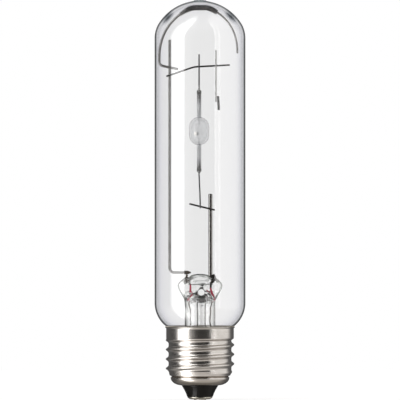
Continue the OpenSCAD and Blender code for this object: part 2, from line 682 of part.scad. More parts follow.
// Capillary between two heights, plugged into the body at its near end
module capillary(z0, z1) at_burner() difference() {
    post(0, 0, z0, z1, capillary_d);
    post(0, 0, z0 - 1, z1 + 1, capillary_bore);
}
module upper_capillary() color("gainsboro") capillary(burner_high - burner_wall, high_end);
module lower_capillary() color("gainsboro") capillary(low_end, burner_low + burner_wall);

// Frit in the last of the bore, with a cone that wets the lead; dir is 1 up or -1 down
module frit(end, dir) at_burner() translate([0, 0, end]) mirror([0, 0, dir < 0 ? 1 : 0])
    lathe([[core_d / 2, -frit_depth], [capillary_bore / 2 - touch / 2, -frit_depth],
        [capillary_bore / 2 - touch / 2, 0],
        [capillary_d / 2, 0], [capillary_d / 2 - 0.1, frit_cone * 0.4],
        [core_d / 2 + 0.05, frit_cone], [core_d / 2, frit_cone]]);
module upper_frit_seal() color("dimgray") frit(high_end, 1);
module lower_frit_seal() color("dimgray") frit(low_end, -1);

// Core through the capillary, with its wound head in the body
module electrode(end, near, dir) at_burner() translate([0, 0, end]) mirror([0, 0, dir < 0 ? 1 : 0]) {
    reach = abs(end - near) + burner_wall + 0.8;
    translate([0, 0, -reach]) cylinder(d = core_d, h = reach + frit_cone, $fn = 32);
    translate([0, 0, -reach - electrode_head_len + 0.4])
        cylinder(d = electrode_head_d, h = electrode_head_len, $fn = 32);
}
module upper_electrode() color("slategray") electrode(high_end, burner_high, 1);
module lower_electrode() color("slategray") electrode(low_end, burner_low, -1);

module upper_burner_lead() color("silver")
    post(-burner_x, burner_y, high_end + frit_cone + touch, upper_cross_z + upper_lead_over,
         burner_lead_d);

module lower_burner_lead() color("silver") wire([[-burner_x, burner_y, low_end - frit_cone - touch],
    [-burner_x + 0.1, burner_y, low_end - frit_cone - 2],
    [0.1, lower_weld_y, lower_cross_z + 1], [0.1, lower_weld_y, lower_cross_z - 0.8]], burner_lead_d);

// Drop of dose metal that lies against the inside of the body's front
module dose_bead() {
    r = burner_d / 2 - burner_wall - dose_d / 2 - touch;
    color("white") at_burner() translate([r * cos(245), r * sin(245), light_centre - 1])
        sphere(d = dose_d, $fn = 32);
}

outer_bulb();
cap_shell();
cap_insulator();
contact_plate();
contact_solder();
cap_cement();
glass_stem();
exhaust_tube();
left_foot_weld();
left_inner_lead();
right_inner_lead();
left_seal_wire();
right_seal_wire();
left_lead_wire();
right_lead_wire();
left_support_rod();
right_support_rod();
lower_cross_wire();
upper_cross_wire();
top_hoop();
hoop_coil_spring();
getter_holder();
getter_strip();
burner_body();
upper_capillary();
lower_capillary();
upper_frit_seal();
lower_frit_seal();
upper_electrode();
lower_electrode();
upper_burner_lead();
lower_burner_lead();
dose_bead();
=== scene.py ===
# Grow lamp: ceramic burner on a wire frame, in a clear tubular bulb with a rolled screw cap.
# Sizes in the dictionaries are millimetres in the solids' own frame; meshes are turned to metres.
from math import acos, asin, copysign, cos, degrees, hypot, pi, radians, sin, sqrt, tau

import bmesh
import bpy
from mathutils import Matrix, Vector, noise


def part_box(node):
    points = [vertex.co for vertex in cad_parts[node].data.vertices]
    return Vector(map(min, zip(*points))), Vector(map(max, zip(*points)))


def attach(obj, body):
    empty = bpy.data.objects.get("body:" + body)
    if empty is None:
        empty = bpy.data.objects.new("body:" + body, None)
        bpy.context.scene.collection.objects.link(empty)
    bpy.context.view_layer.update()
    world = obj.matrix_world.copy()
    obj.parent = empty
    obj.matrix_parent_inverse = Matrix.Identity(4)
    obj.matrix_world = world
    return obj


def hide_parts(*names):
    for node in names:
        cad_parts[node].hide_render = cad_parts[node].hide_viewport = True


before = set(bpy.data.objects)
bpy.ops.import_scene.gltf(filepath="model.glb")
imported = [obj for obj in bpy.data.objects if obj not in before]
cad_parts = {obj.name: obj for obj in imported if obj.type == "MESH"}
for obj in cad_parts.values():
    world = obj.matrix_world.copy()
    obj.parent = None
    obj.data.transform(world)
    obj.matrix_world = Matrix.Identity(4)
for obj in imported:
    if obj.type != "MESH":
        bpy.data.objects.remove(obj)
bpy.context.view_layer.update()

mm = 0.001
smoothStep = {"interpolation_type": "SMOOTHSTEP"}
scene = bpy.context.scene
print("frame loaded,", len(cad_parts), "solids")


def toLinear(hexCode):
    values = [int(hexCode[i:i + 2], 16) / 255 for i in (1, 3, 5)]
    return tuple(v / 12.92 if v <= 0.04045 else ((v + 0.055) / 1.055) ** 2.4 for v in values) + (1,)


# Clears a node tree and gives the function that adds a node to it. Inputs are a list in the order of the
# sockets, or go by name; a socket among them is linked, anything else is set. The outputs come back.
def nodeAdder(tree):
    tree.nodes.clear()

    def add(kind, inputs=(), stops=(), **settings):
        node = tree.nodes.new("ShaderNode" + kind)
        for key, value in settings.items():
            setattr(node, key, value)
        for key, value in inputs.items() if isinstance(inputs, dict) else enumerate(inputs):
            if isinstance(value, bpy.types.NodeSocket):
                tree.links.new(value, node.inputs[key])
            else:
                node.inputs[key].default_value = value
        if stops:
            elements = node.color_ramp.elements
            elements[0].position, elements[1].position = stops[0][0], stops[-1][0]
            for place, colour in stops[1:-1]:
                elements.new(place)
            for element, (place, colour) in zip(elements, stops):
                element.color = toLinear(colour)
        return node.outputs

    return add


def newMaterial(name, slot):
    material = bpy.data.materials.new(name)
    material.use_nodes = True
    material["slot"] = slot
    return material, nodeAdder(material.node_tree)


# Lays tones over a colour, each by its own share. A Mix node takes colours at 6 and 7 and gives one at 2
def layTones(add, colour, tones):
    for share, tone in tones:
        colour = add("Mix", {0: share, 6: colour, 7: toLinear(tone)}, data_type="RGBA")[2]
    return colour


# A share that is 0 where a value is start away from its middle and 1 where it is end away
def awayFrom(add, value, middle, start, end=0, **settings):
    off = add("Math", [value, middle * mm], operation="SUBTRACT")[0]
    off = add("Math", [off], operation="ABSOLUTE")[0]
    return add("MapRange", [off, start * mm, end * mm], **settings)[0]


def boxOf(node):
    low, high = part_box(node)
    return low / mm, high / mm


def ease(a, b, x):
    t = max(0.0, min(1.0, (x - a) / (b - a)))
    return t * t * (3 - 2 * t)


def evenly(a, b, steps):
    return [a + (b - a) * i / steps for i in range(steps + 1)]


def angles(a, b, steps):
    return [radians(angle) for angle in evenly(a, b, steps)]


def allRound(steps, start=0.0):
    return [tau * (i + start) / steps for i in range(steps)]


def arc(x, z, r, a, b, steps):
    return [(x + r * cos(t), z + r * sin(t)) for t in angles(a, b, steps)]


# Path whose corners are rounded over a distance r
def rounded(path, r, steps=8):
    path = [Vector(p) for p in path]
    out = [path[0]]
    for before, corner, after in zip(path, path[1:], path[2:]):
        a, b = before - corner, after - corner
        p = corner + a.normalized() * min(r, a.length / 2)
        q = corner + b.normalized() * min(r, b.length / 2)
        out += [(1 - t) ** 2 * p + 2 * t * (1 - t) * corner + t * t * q for t in evenly(0, 1, steps)]
    out.append(path[-1])
    return out


def newMesh(name, points, faces):
    mesh = bpy.data.meshes.new(name)
    mesh.from_pydata([Vector(p) * mm for p in points], [], faces)
    work = bmesh.new()
    work.from_mesh(mesh)
    bmesh.ops.remove_doubles(work, verts=work.verts, dist=1e-7)
    bmesh.ops.recalc_face_normals(work, faces=work.faces)
    work.to_mesh(mesh)
    work.free()
    return mesh


def addObject(name, data):
    thing = bpy.data.objects.new(name, data)
    scene.collection.objects.link(thing)
    return thing


# Unless solids says otherwise, a piece replaces the solid of its own name: topHoop does top_hoop
def addPiece(name, points, faces, material, solids=None, sharp=38):
    if solids is None:
        solids = ["".join("_" + c.lower() if c.isupper() else c for c in name)]
    mesh = newMesh(name, points, faces)
    mesh.shade_smooth()
    mesh.set_sharp_from_angle(angle=radians(sharp))
    mesh.materials.append(material)
    piece = addObject(name, mesh)
    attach(piece, "root")
    if solids:
        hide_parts(*solids)
    return piece


# Faces between rings of equal length; loop joins the last ring to the first
def skin(rings, loop=False):
    count = len(rings[0])
    faces = []
    for i in range(len(rings) if loop else len(rings) - 1):
        a, b = i * count, ((i + 1) % len(rings)) * count
        for j in range(count):
            k = (j + 1) % count
            faces.append((a + j, a + k, b + k, b + j))
    if not loop:
        faces.append(tuple(range(count)))
        faces.append(tuple((len(rings) - 1) * count + j for j in reversed(range(count))))
    return [p for ring in rings for p in ring], faces


# Solid of revolution from a closed outline of (radius, height)
def lathe(name, outline, material, solids=None, x=0, y=0, turns=96, sharp=38):
    points, faces, rings = [], [], []
    for r, z in outline:
        if r < 1e-6:
            rings.append([len(points)] * turns)
            points.append((x, y, z))
        else:
            rings.append(range(len(points), len(points) + turns))
            points += [(x + r * cos(a), y + r * sin(a), z) for a in allRound(turns)]
    for a, b in zip(rings, rings[1:] + rings[:1]):
        for j in range(turns):
            k = (j + 1) % turns
            corners = list(dict.fromkeys((a[j], a[k], b[k], b[j])))
            if len(corners) > 2:
                faces.append(corners)
    return addPiece(name, points, faces, material, solids, sharp)


wireChamfer = 0.12      # of the width, at the cut ends


# Round wire along a path, of one width or a list of them
def addWire(name, path, width, material, solids=None, sides=16):
    path = [Vector(p) for p in path]
    widths = width if isinstance(width, list) else [width] * len(path)
    last = len(path) - 1
    tangents = [(path[min(i + 1, last)] - path[max(i - 1, 0)]).normalized() for i in range(last + 1)]
    normal = tangents[0].orthogonal().normalized()
    rings = []
    for i, (point, along, wide) in enumerate(zip(path, tangents, widths)):
        if i:
            normal.rotate(tangents[i - 1].rotation_difference(along))
        side = along.cross(normal)
        ring = [normal * cos(a) + side * sin(a) for a in allRound(sides)]
        inset = wireChamfer * wide
        if i == 0:
            rings.append([point + d * (wide / 2 - inset) for d in ring])
            point = point + along * inset
        if i == last:
            point = point - along * inset
        rings.append([point + d * wide / 2 for d in ring])
        if i == last:
            rings.append([point + along * inset + d * (wide / 2 - inset) for d in ring])
    addPiece(name, *skin(rings), material, solids)


cameraLook = {
    "height": 76.7,      # level with the middle of the lamp
    "distance": 2000,
    "shown": 153.28,     # height of the frame at the lamp's axis
}

cameraData = bpy.data.cameras.new("camera")
cameraData.sensor_width = 36
cameraData.lens = 36 * cameraLook["distance"] / cameraLook["shown"]
cameraData.clip_start = 0.05
cameraData.clip_end = 20
camera = addObject("camera", cameraData)
camera.location = (0, -cameraLook["distance"] * mm, cameraLook["height"] * mm)
camera.rotation_euler = (radians(90), 0, 0)
scene.camera = camera
scene.view_settings.view_transform = "Standard"
scene.cycles.max_bounces = 20
scene.cycles.transmission_bounces = 20
scene.cycles.transparent_max_bounces = 32
scene.cycles.caustics_refractive = False
scene.cycles.caustics_reflective = False
print("camera set")


# Cards that only mirrors see, in degrees: sides from the camera's own, positive to its right, and heights.
# soft is half the width of the two side edges, rise of the other two. A card with a lean moves that many
# degrees to the right for each degree above or below level. A card without a colour is white.
studioCards = dict(
    softBox=dict(sides=(-80, -42), soft=(5, 2), heights=(-56, 78), rise=12, light=4.0, lean=0.2),
    boxGlow=dict(sides=(-50, -22), soft=(8, 10), heights=(-58, 78), rise=14, lean=0.2,
        light=0.38, colour="#f4f2ee"),
    warmPanel=dict(sides=(40, 118), soft=(3, 12), heights=(-15, 72), rise=6, light=1.1, colour="#fffdfa"),
    stripInner=dict(sides=(39.6, 41.1), soft=(0.3, 0.3), heights=(-15, 60), rise=8, light=3.0),
    stripOuter=dict(sides=(51.0, 52.5), soft=(0.3, 0.3), heights=(-15, 60), rise=8, light=3.0),
    ceiling=dict(sides=(-140, 140), soft=(20, 20), heights=(34, 120), rise=14,
        light=0.4, colour="#fbf8f4"),
    table=dict(sides=(-96, 108), soft=(24, 26), heights=(-130, -13), rise=5,
        light=0.85, colour="#fbf6f0"),
    tableBehindLeft=dict(sides=(-200, -96), soft=(1, 24), heights=(-130, -34), rise=12,
        light=0.3, colour="#fbf6f0"),
    tableBehindRight=dict(sides=(108, 200), soft=(26, 1), heights=(-130, -34), rise=12,
        light=0.3, colour="#fbf6f0"))
studioDark = dict(front=0.02, back=0.13, start=60.0, end=125.0)      # the room between the cards
studioLight = dict(ambient=0.6, keyPower=5.0, fillPower=3.0, reach=0.8)
floorLook = dict(side=700, gap=0.05, colour="#f2f2f0", seen="#9a9a98", lift=0.77)


# 1 for what the camera sees, straight or through glass
def seenByCamera(add):
    path = add("LightPath")
    return add("Math", [path["Is Camera Ray"], path["Is Transmission Ray"]], operation="MAXIMUM")[0]


# White to the camera, soft grey light on what is matt, and cards in a dark room for what mirrors
def buildWorld():
    world = bpy.data.worlds.new("studio")
    world.use_nodes = True
    scene.world = world
    add = nodeAdder(world.node_tree)
    split = add("SeparateXYZ", [add("TexCoord")["Generated"]])
    toCamera = add("Math", [split["Y"], -1.0], operation="MULTIPLY")[0]
    turn = add("Math", [split["X"], toCamera], operation="ARCTAN2")[0]
    turn = add("Math", [turn], operation="DEGREES")[0]
    aside = add("Math", [turn], operation="ABSOLUTE")[0]
    rise = add("Math", [split["Z"]], operation="ARCSINE")[0]
    rise = add("Math", [rise], operation="DEGREES")[0]
    offLevel = add("Math", [rise], operation="ABSOLUTE")[0]
    dark = studioDark
    mirrored = add("MapRange", [aside, dark["start"], dark["end"], dark["front"], dark["back"]])[0]
    for card in studioCards.values():
        side = add("Math", [offLevel, -card.get("lean", 0.0), turn], operation="MULTIPLY_ADD")[0]
        (left, right), (low, high) = card["sides"], card["heights"]
        level = card["light"]
        for value, edge, soft in ((side, left, card["soft"][0]), (side, right, -card["soft"][1]),
                                  (rise, low, card["rise"]), (rise, high, -card["rise"])):
            inside = add("MapRange", [value, edge - soft, edge + soft], **smoothStep)[0]
            level = add("Math", [inside, level], operation="MULTIPLY")[0]
        colour = toLinear(card.get("colour", "#ffffff"))[:3]
        glow = add("VectorMath", {0: colour, "Scale": level}, operation="SCALE")[0]
        mirrored = add("VectorMath", [mirrored, glow], operation="ADD")[0]
    seen = seenByCamera(add)
    mirrors = add("Math", [add("LightPath")["Is Glossy Ray"], seen], operation="SUBTRACT", use_clamp=True)[0]
    plain = layTones(add, [studioLight["ambient"]] * 3 + [1], [(seen, "#ffffff")])
    plain = add("Background", [plain])[0]
    cards = add("Background", [mirrored])[0]
    add("OutputWorld", [add("MixShader", [mirrors, plain, cards])[0]])


def addLamp(name, side, rise, size, power):
    data = bpy.data.lights.new(name, "AREA")
    data.shape = "RECTANGLE"
    data.size, data.size_y = size
    data.energy = power
    lamp = addObject(name, data)
    turn, up = radians(side), radians(rise)
    away = Vector((sin(turn) * cos(up), -cos(turn) * cos(up), sin(up)))
    lamp.location = away * studioLight["reach"] + Vector((0, 0, cameraLook["height"] * mm))
    lamp.rotation_euler = away.to_track_quat("Z", "Y").to_euler()
    lamp.visible_camera = lamp.visible_glossy = lamp.visible_transmission = False


# Pale paper. The camera sees it greyer but lifted by its own light, so that it comes out as white as the
# room behind it and still takes the lamp's soft shadow
def buildFloor():
    look, half = floorLook, floorLook["side"] / 2
    paper = bpy.data.materials.new("whitePaperFloor")
    paper.use_nodes = True
    add = nodeAdder(paper.node_tree)
    seen = seenByCamera(add)
    lift = add("Math", [seen, look["lift"]], operation="MULTIPLY")[0]
    tone = layTones(add, toLinear(look["colour"]), [(seen, look["seen"])])
    matte = add("BsdfDiffuse", [tone])[0]
    light = add("Emission", {"Strength": lift})[0]
    add("OutputMaterial", [add("AddShader", [matte, light])[0]])
    corners = [(-half, -half, 0), (half, -half, 0), (half, half, 0), (-half, half, 0)]
    floor = addObject("floor", newMesh("floor", corners, [(0, 1, 2, 3)]))
    floor.data.materials.append(paper)
    floor.location.z = -look["gap"] * mm
    floor.visible_glossy = False      # what the metal mirrors below it is the table card


buildWorld()
addLamp("keyBox", -60, 12, (0.6, 0.9), studioLight["keyPower"])
addLamp("fillPanel", 74, 12, (0.7, 0.9), studioLight["fillPower"])
buildFloor()
print("studio built")


# Painted shade: grey patches near the dome's outline, for the dark room that the dome mirrors there; the tip
# where it was sealed is grey glass
domePaintedShadeAndTip = dict(
    x=12.1, wide=3.2, z=147.0, high=4.0, aside=0.35, colour="#7d8489", thinFrom=136, thinTo=150,
    thin=0.05, tipFrom=152.5, tipTo=152.95, tip="#b2babb")


# Hard glass tube, drawn and fire polished: colourless, grey where the eye looks along its wall. Each
# wall mirrors on one face only, as the far wall's images would be too faint to tell from the near one's.
def clearGlass(name, edges, sheen, grazing, frontMirrors):
    dome = domePaintedShadeAndTip
    material, add = newMaterial(name, "clear_glass")
    place = add("TexCoord")["Object"]
    drawn = add("Mapping", {"Vector": place, "Scale": (1, 1, 0.04)})[0]
    ripple = add("TexNoise", {"Vector": drawn, "Scale": 1 / (4.167 * mm), "Detail": 2.0})[0]
    bump = add("Bump", {"Height": ripple, "Strength": 0.25, "Distance": 0.03 * mm})[0]
    facing = add("LayerWeight", {"Blend": 0.5})["Facing"]
    steep = add("Math", [facing, 5.0], operation="POWER")[0]
    mirror = add("Math", [steep, grazing, sheen], operation="MULTIPLY_ADD")[0]
    back = add("NewGeometry")["Backfacing"]
    face = add("MapRange", [back, 0, 1, int(frontMirrors), int(not frontMirrors)])[0]
    mirror = add("Math", [mirror, face], operation="MULTIPLY")[0]
    split = add("SeparateXYZ", [place])
    thin = add("MapRange", [split["Z"], dome["thinFrom"] * mm, dome["thinTo"] * mm, 0, dome["thin"]])[0]
    thin = add("Math", [facing, thin], operation="SUBTRACT")[0]
    tint = add("ValToRGB", [thin], edges)[0]
    across = add("Math", [split["X"], dome["aside"] * mm], operation="ADD")[0]
    across = add("Math", [across], operation="ABSOLUTE")[0]
    # Painted shade: grey patches near the dome's outline, only where the surface turns edge-on
    shade = add("MapRange", [facing, 0.5, 0.85], **smoothStep)[0]
    for value, middle, reach in (across, dome["x"], dome["wide"]), (split["Z"], dome["z"], dome["high"]):
        share = awayFrom(add, value, middle, reach, **smoothStep)
        shade = add("Math", [shade, share], operation="MULTIPLY")[0]
    sealed = add("MapRange", [split["Z"], dome["tipFrom"] * mm, dome["tipTo"] * mm])[0]
    tint = layTones(add, tint, [(shade, dome["colour"]), (sealed, dome["tip"])])
    through = add("BsdfTransparent", [tint])[0]
    gloss = add("BsdfGlossy", {"Roughness": 0.015, "Normal": bump})[0]
    add("OutputMaterial", [add("MixShader", [mirror, through, gloss])[0]])
    return material


# Lead glass, pressed soft: bends what is behind it, with dark outlines and a faint grey body
def leadGlass(name, edges):
    material, add = newMaterial(name, "stem_glass")
    place = add("TexCoord")["Object"]
    flow = add("TexNoise", {"Vector": place, "Scale": 1 / (2.381 * mm), "Detail": 3.0})[0]
    bump = add("Bump", {"Height": flow, "Strength": 0.35, "Distance": 0.12 * mm})[0]
    tint = add("ValToRGB", [add("LayerWeight", {"Blend": 0.5})["Facing"]], edges)[0]
    glass = add("BsdfPrincipled", {
        "Base Color": tint, "Roughness": 0.0, "IOR": 1.55, "Transmission Weight": 1.0, "Normal": bump})[0]
    clear = add("BsdfTransparent", [(0.9, 0.9, 0.9, 1)])[0]
    path = add("LightPath")
    past = add("Math", [path["Is Glossy Ray"], path["Is Transmission Ray"]],
               operation="SUBTRACT", use_clamp=True)[0]      # bent rays count as glossy too
    for kind in ("Is Shadow Ray", "Is Diffuse Ray"):
        past = add("Math", [past, path[kind]], operation="MAXIMUM")[0]
    add("OutputMaterial", [add("MixShader", [past, glass, clear])[0]])
    return material


# Any metal: colour that wanders between two tones, fine lines or grain, and the bump they leave
def metalFinish(name, slot, **look):
    material, add = newMaterial(name, slot)
    place = add("TexCoord")["Object"]
    lines = add("Mapping", {"Vector": place, "Scale": look.get("stretch", (1, 1, 1))})[0]
    size = look["grain"] * mm
    grain = add("TexNoise", {"Vector": lines, "Scale": 1 / size, "Detail": 4.0, "Roughness": 0.6})[0]
    cloud = add("TexNoise", {"Vector": place, "Scale": 1 / (look["cloud"] * mm), "Detail": 3.0})[0]
    blend = add("Math", [grain, cloud], operation="ADD")[0]
    blend = add("MapRange", [blend, 0.7, 1.3])[0]
    colour = add("ValToRGB", [blend], [(0, look["dark"]), (1, look["light"])])[0]
    # Painted shade: darker towards the bottom between two heights, and in a band round the groove
    if "stain" in look:
        above, below, stained = look["stain"]
        middle, half, grooveShadeTone = look["groove"]
        height = add("SeparateXYZ", [place])["Z"]
        stain = add("MapRange", [height, above * mm, below * mm])[0]
        groove = add("Math", [height, middle * mm, half * mm], operation="COMPARE")[0]
        colour = layTones(add, colour, [(stain, stained), (groove, grooveShadeTone)])
    smooth, dull = look["rough"]
    rough = add("MapRange", [blend, 0, 1, dull, smooth])[0]
    bump = add("Bump", {"Height": grain, "Strength": look.get("bump", 0.2), "Distance": size * 0.2})[0]
    metal = add("BsdfPrincipled", {
        "Base Color": colour, "Metallic": look.get("metal", 1.0), "Roughness": rough, "Normal": bump})[0]
    add("OutputMaterial", [metal])
    return material


bulbEdges = [(0.0, "#fcfcfc"), (0.4, "#fcfcfc"), (0.5, "#fafafb"), (0.594, "#f5f5f6"), (0.647, "#f0f0f1"),
             (0.713, "#dcdddf"), (0.8, "#88898b"), (0.9, "#34363a"), (1.0, "#0e0f12")]
insideEdges = [(0, "#fcfcfc"), (1, "#f4f4f6")]
bulbOutside = clearGlass("hardGlassDrawn", bulbEdges, 0.062, 0.94, True)
bulbInside = clearGlass("hardGlassInside", insideEdges, 0.046, 0.1, False)
stemGlass = leadGlass("leadGlassDrawn", [
    (0, "#ffffff"), (0.5, "#f6f7f6"), (0.7, "#c9cccb"), (0.85, "#8b8e8d"), (1, "#4b4e4b")])
pressGlass = leadGlass("leadGlassPressed", [
    (0, "#ffffff"), (0.08, "#fdfdfd"), (0.18, "#cdd0ce"), (0.3, "#868987"), (0.5, "#484b47"),
    (0.75, "#262924"), (1, "#0e110c")])
# The blown bubble: its glass is tinted near black and greenish, painted shade for the light that its air
# pocket turns back
bubbleDarkGlass = leadGlass("leadGlassBlownDark", [(0, "#2e322b"), (0.35, "#181c14"), (1, "#0b0e09")])

# Nickel plate on rolled brass: warm grey mirror with fine lines round it from the rolls, painted darker
# where the heel turns under and in the groove, painted shade. stain is from a height to a height, groove a
# middle and half width
nickelShell = metalFinish(
    "nickelPlateRolled", "nickel_shell", dark="#bdb9b5", light="#cbc7c3", rough=(0.2, 0.27), grain=0.25,
    cloud=4, stretch=(0.05, 0.05, 1), bump=0.06, stain=(8.9, 6.4, "#8c857b"),
    groove=(9.12, 0.3, "#aba298"))
# Nickel-plated iron wire, drawn: satin grey with lines along it
frameNickel = metalFinish(
    "nickelWireDrawn", "frame_nickel", dark="#7c7b7a", light="#9a9998", rough=(0.27, 0.42), grain=0.15,
    cloud=2, stretch=(1, 1, 0.06), bump=0.15)
# The thick rod kept its polish
rodNickel = metalFinish(
    "nickelRodPolished", "frame_nickel", dark="#7b7977", light="#959390", rough=(0.08, 0.13), grain=0.15,
    cloud=3, stretch=(1, 1, 0.02), bump=0.02)
# The cross wires are the same wire painted darker and browner: painted shade for the dark room that level
# wires mirror
crossNickelShaded = metalFinish(
    "nickelWirePaintedDark", "frame_nickel", dark="#2a2928", light="#484644", rough=(0.24, 0.38), grain=0.15,
    cloud=1.2, bump=0.15)
# Spring wire blued by its heat treatment: dark, a little glossy
springSteel = metalFinish(
    "springWireBlued", "spring_steel", dark="#29292a", light="#72706e", rough=(0.25, 0.42), grain=0.12,
    cloud=1.5, bump=0.2)
# Weld left black and brown by the flame
burntWeld = metalFinish(
    "weldOxidised", "oxidised_nickel", dark="#100d0a", light="#57483a", rough=(0.28, 0.55), grain=0.3,
    cloud=0.9, bump=0.5, metal=0.7)
# The knob where rod and lead were melted together: nearly black scale
blackWeld = metalFinish(
    "weldScaled", "oxidised_nickel", dark="#090807", light="#211e1a", rough=(0.3, 0.5), grain=0.3,
    cloud=0.9, bump=0.5, metal=0.7)
# Copper-sheathed seal wire, borated: glassy crimson under the glass
sealCopper = metalFinish(
    "sealWireBorated", "seal_copper", dark="#8c1330", light="#c2274a", rough=(0.2, 0.35), grain=0.2,
    cloud=0.8, metal=0.4)
# Thin copper-clad lead, dull and brownish
copperLead = metalFinish(
    "copperLeadDull", "copper_lead", dark="#2f2620", light="#625249", rough=(0.3, 0.5), grain=0.15,
    cloud=1)
# Niobium lead: clean mid grey, drawn
niobium = metalFinish(
    "niobiumDrawn", "niobium", dark="#4e4e50", light="#6c6c6e", rough=(0.25, 0.4), grain=0.12, cloud=1.5,
    stretch=(1, 1, 0.06))
# Nickel-plated brass contact, stamped: soft sheen with a rolled edge
contactBrass = metalFinish(
    "contactPlateStamped", "contact_brass", dark="#938f84", light="#b8b4a8", rough=(0.28, 0.42),
    grain=0.3, cloud=2)
# Tin solder, set in air: pale, dimpled, a little dull
solderTin = metalFinish(
    "solderTin", "solder", dark="#b9b8b5", light="#e2e1de", rough=(0.25, 0.45), grain=0.7, cloud=1.6,
    bump=0.6)
# Mercury of the dose, painted dark: the dose's mercury and a painted shadow crescent beside the iodide, a
# dark mirror with a bright spark
mercuryAsShadow = metalFinish(
    "doseMercury", "dose", dark="#4a4a4b", light="#6f6f70", rough=(0.08, 0.16), grain=0.3, cloud=0.8)


# Not a metal: two tones, grain and a soft gloss. faded is the tone that the piece takes on away from its
# centre, rim a painted shade at its outline, glow a painted glow, and clear how much of its front and back
# lets the inside show
def ceramicFinish(name, slot, **look):
    material, add = newMaterial(name, slot)
    place = add("TexCoord")["Object"]
    size = look["grain"] * mm
    grain = add("TexNoise", {"Vector": place, "Scale": 1 / size, "Detail": 5.0})[0]
    colour = add("ValToRGB", [grain], [(0.3, look["dark"]), (0.7, look["light"])])[0]
    if "faded" in look:
        height = add("SeparateXYZ", [place])["Z"]
        share = awayFrom(add, height, look["centre"], *look["fade"])
        colour = layTones(add, colour, [(share, look["faded"])])
    if "rim" in look:
        # Painted shade: the outline is darkened where the eye meets the surface edge-on
        facing = add("LayerWeight", {"Blend": 0.5})["Facing"]
        share = add("MapRange", [facing, 0.48, 0.74], **smoothStep)[0]
        colour = layTones(add, colour, [(share, look["rim"])])
    bump = add("Bump", {"Height": grain, "Strength": look["bump"], "Distance": size * 0.25})[0]
    body = add("BsdfPrincipled", {
        "Base Color": colour, "Roughness": look["rough"], "IOR": look["ior"], "Normal": bump,
        "Emission Color": colour, "Emission Strength": look.get("glow", 0.0),
        "Specular IOR Level": look.get("specular", 0.5)})[0]
    if "clear" in look:
        share = add("MapRange", [add("NewGeometry")["Backfacing"], 0, 1, *look["clear"]])[0]
        share = add("Math", [share, add("LightPath")["Is Shadow Ray"]], operation="MAXIMUM")[0]
        body = add("MixShader", [share, body, add("BsdfTransparent")[0]])[0]
    add("OutputMaterial", [body])
    return material


# Sintered alumina: cloudy white, its wall lets a little light and shape through; its outline is painted
# darker, painted shade
alumina = ceramicFinish(
    "aluminaSintered", "alumina", dark="#c3c5c7", light="#d3d4d6", grain=0.35, rough=0.35, ior=1.76,
    bump=0.12, clear=(0.58, 0.95), rim="#7f8184")
# The capillaries are the same, but greyer: lead wire shows through, and frit soaked into their ends
aluminaThin = ceramicFinish(
    "aluminaCapillary", "alumina", dark="#b4b5b7", light="#c6c7c9", grain=0.35, rough=0.35, ior=1.76,
    bump=0.12, clear=(0.2, 0.5), centre=103.1, fade=(9.8, 13.4), faded="#686767")
# Sealing frit, melted in: grey, wet looking
frit = ceramicFinish(
    "fritMelted", "frit", dark="#4c4c4b", light="#777674", grain=0.5, rough=0.2, ior=1.6, bump=0.2,
    clear=(0.25, 0.5))
# Iodide salts of the dose, frozen: cream and chalky, with a painted glow so that they shine inside the
# burner
iodideSelfLit = ceramicFinish(
    "doseIodideFrozen", "dose", dark="#f7f1e6", light="#fffdf8", grain=0.3, rough=0.4, ior=1.6, bump=0.3,
    glow=0.5)
# Getter strip: matt alloy powder rolled on an iron carrier, like fine soot
getterPowder = ceramicFinish(
    "getterPowderRolled", "getter_metal", dark="#0f0f10", light="#262525", grain=0.12, rough=0.8, ior=1.5,
    bump=0.6, specular=0.2)
# Black insulating glass, moulded in the cap: near black and glossy with a slight orange peel
blackGlass = ceramicFinish(
    "blackGlassMoulded", "black_glass", dark="#060605", light="#0e0e0a", grain=1.2, rough=0.1, ior=1.52,
    bump=0.1, specular=0.14)
# Cap cement, cast: tan and gritty
capCement = ceramicFinish(
    "capCementCast", "cement", dark="#6d604e", light="#9c8d77", grain=0.4, rough=0.85, ior=1.45, bump=0.8)
# Where it was squeezed out at the rim it is burnt in places and pale in others
cementBead = ceramicFinish(
    "capCementBurnt", "cement", dark="#857d70", light="#d8d2c7", grain=4.5, rough=0.8, ior=1.45, bump=0.3)
print("finishes mixed")


# Outer bulb: tube, round shoulder, dome with its sealed button
bulbShape = dict(
    wall=1.1, neck=10.9, shoulder=11.4, shoulderHeight=37.27, knuckle=10.7, crownExtra=1.3, tipWide=4.8,
    tipHigh=0.35, turns=192)
bulbLow, bulbHigh = boxOf("outer_bulb")
bulbRadius = min(bulbHigh.x, bulbHigh.y, -bulbLow.x, -bulbLow.y)
shoulderX = bulbRadius - bulbShape["shoulder"]
domeTop = bulbHigh.z - bulbShape["tipHigh"]


def bulbOutline(inset):
    shape = bulbShape
    shoulder, bend = shape["shoulder"] - inset, shape["knuckle"]
    crown = bulbRadius + shape["crownExtra"]
    knuckle = bulbRadius - bend
    tilt = degrees(asin(knuckle / (crown - bend)))
    neck = shape["neck"] - inset
    start = -degrees(acos((neck - shoulderX) / shoulder))
    low, high = shape["shoulderHeight"], domeTop - crown + sqrt((crown - bend) ** 2 - knuckle ** 2)
    outline = [(neck, bulbLow.z)] + arc(shoulderX, low, shoulder, start, 0, 28)
    outline += [(bulbRadius - inset, z) for z in evenly(low, high, 8)[1:-1]]
    outline += arc(knuckle, high, bend - inset, 0, 90 - tilt, 24)
    return outline + arc(0, domeTop - crown, crown - inset, 90 - tilt, 90, 16)[1:]


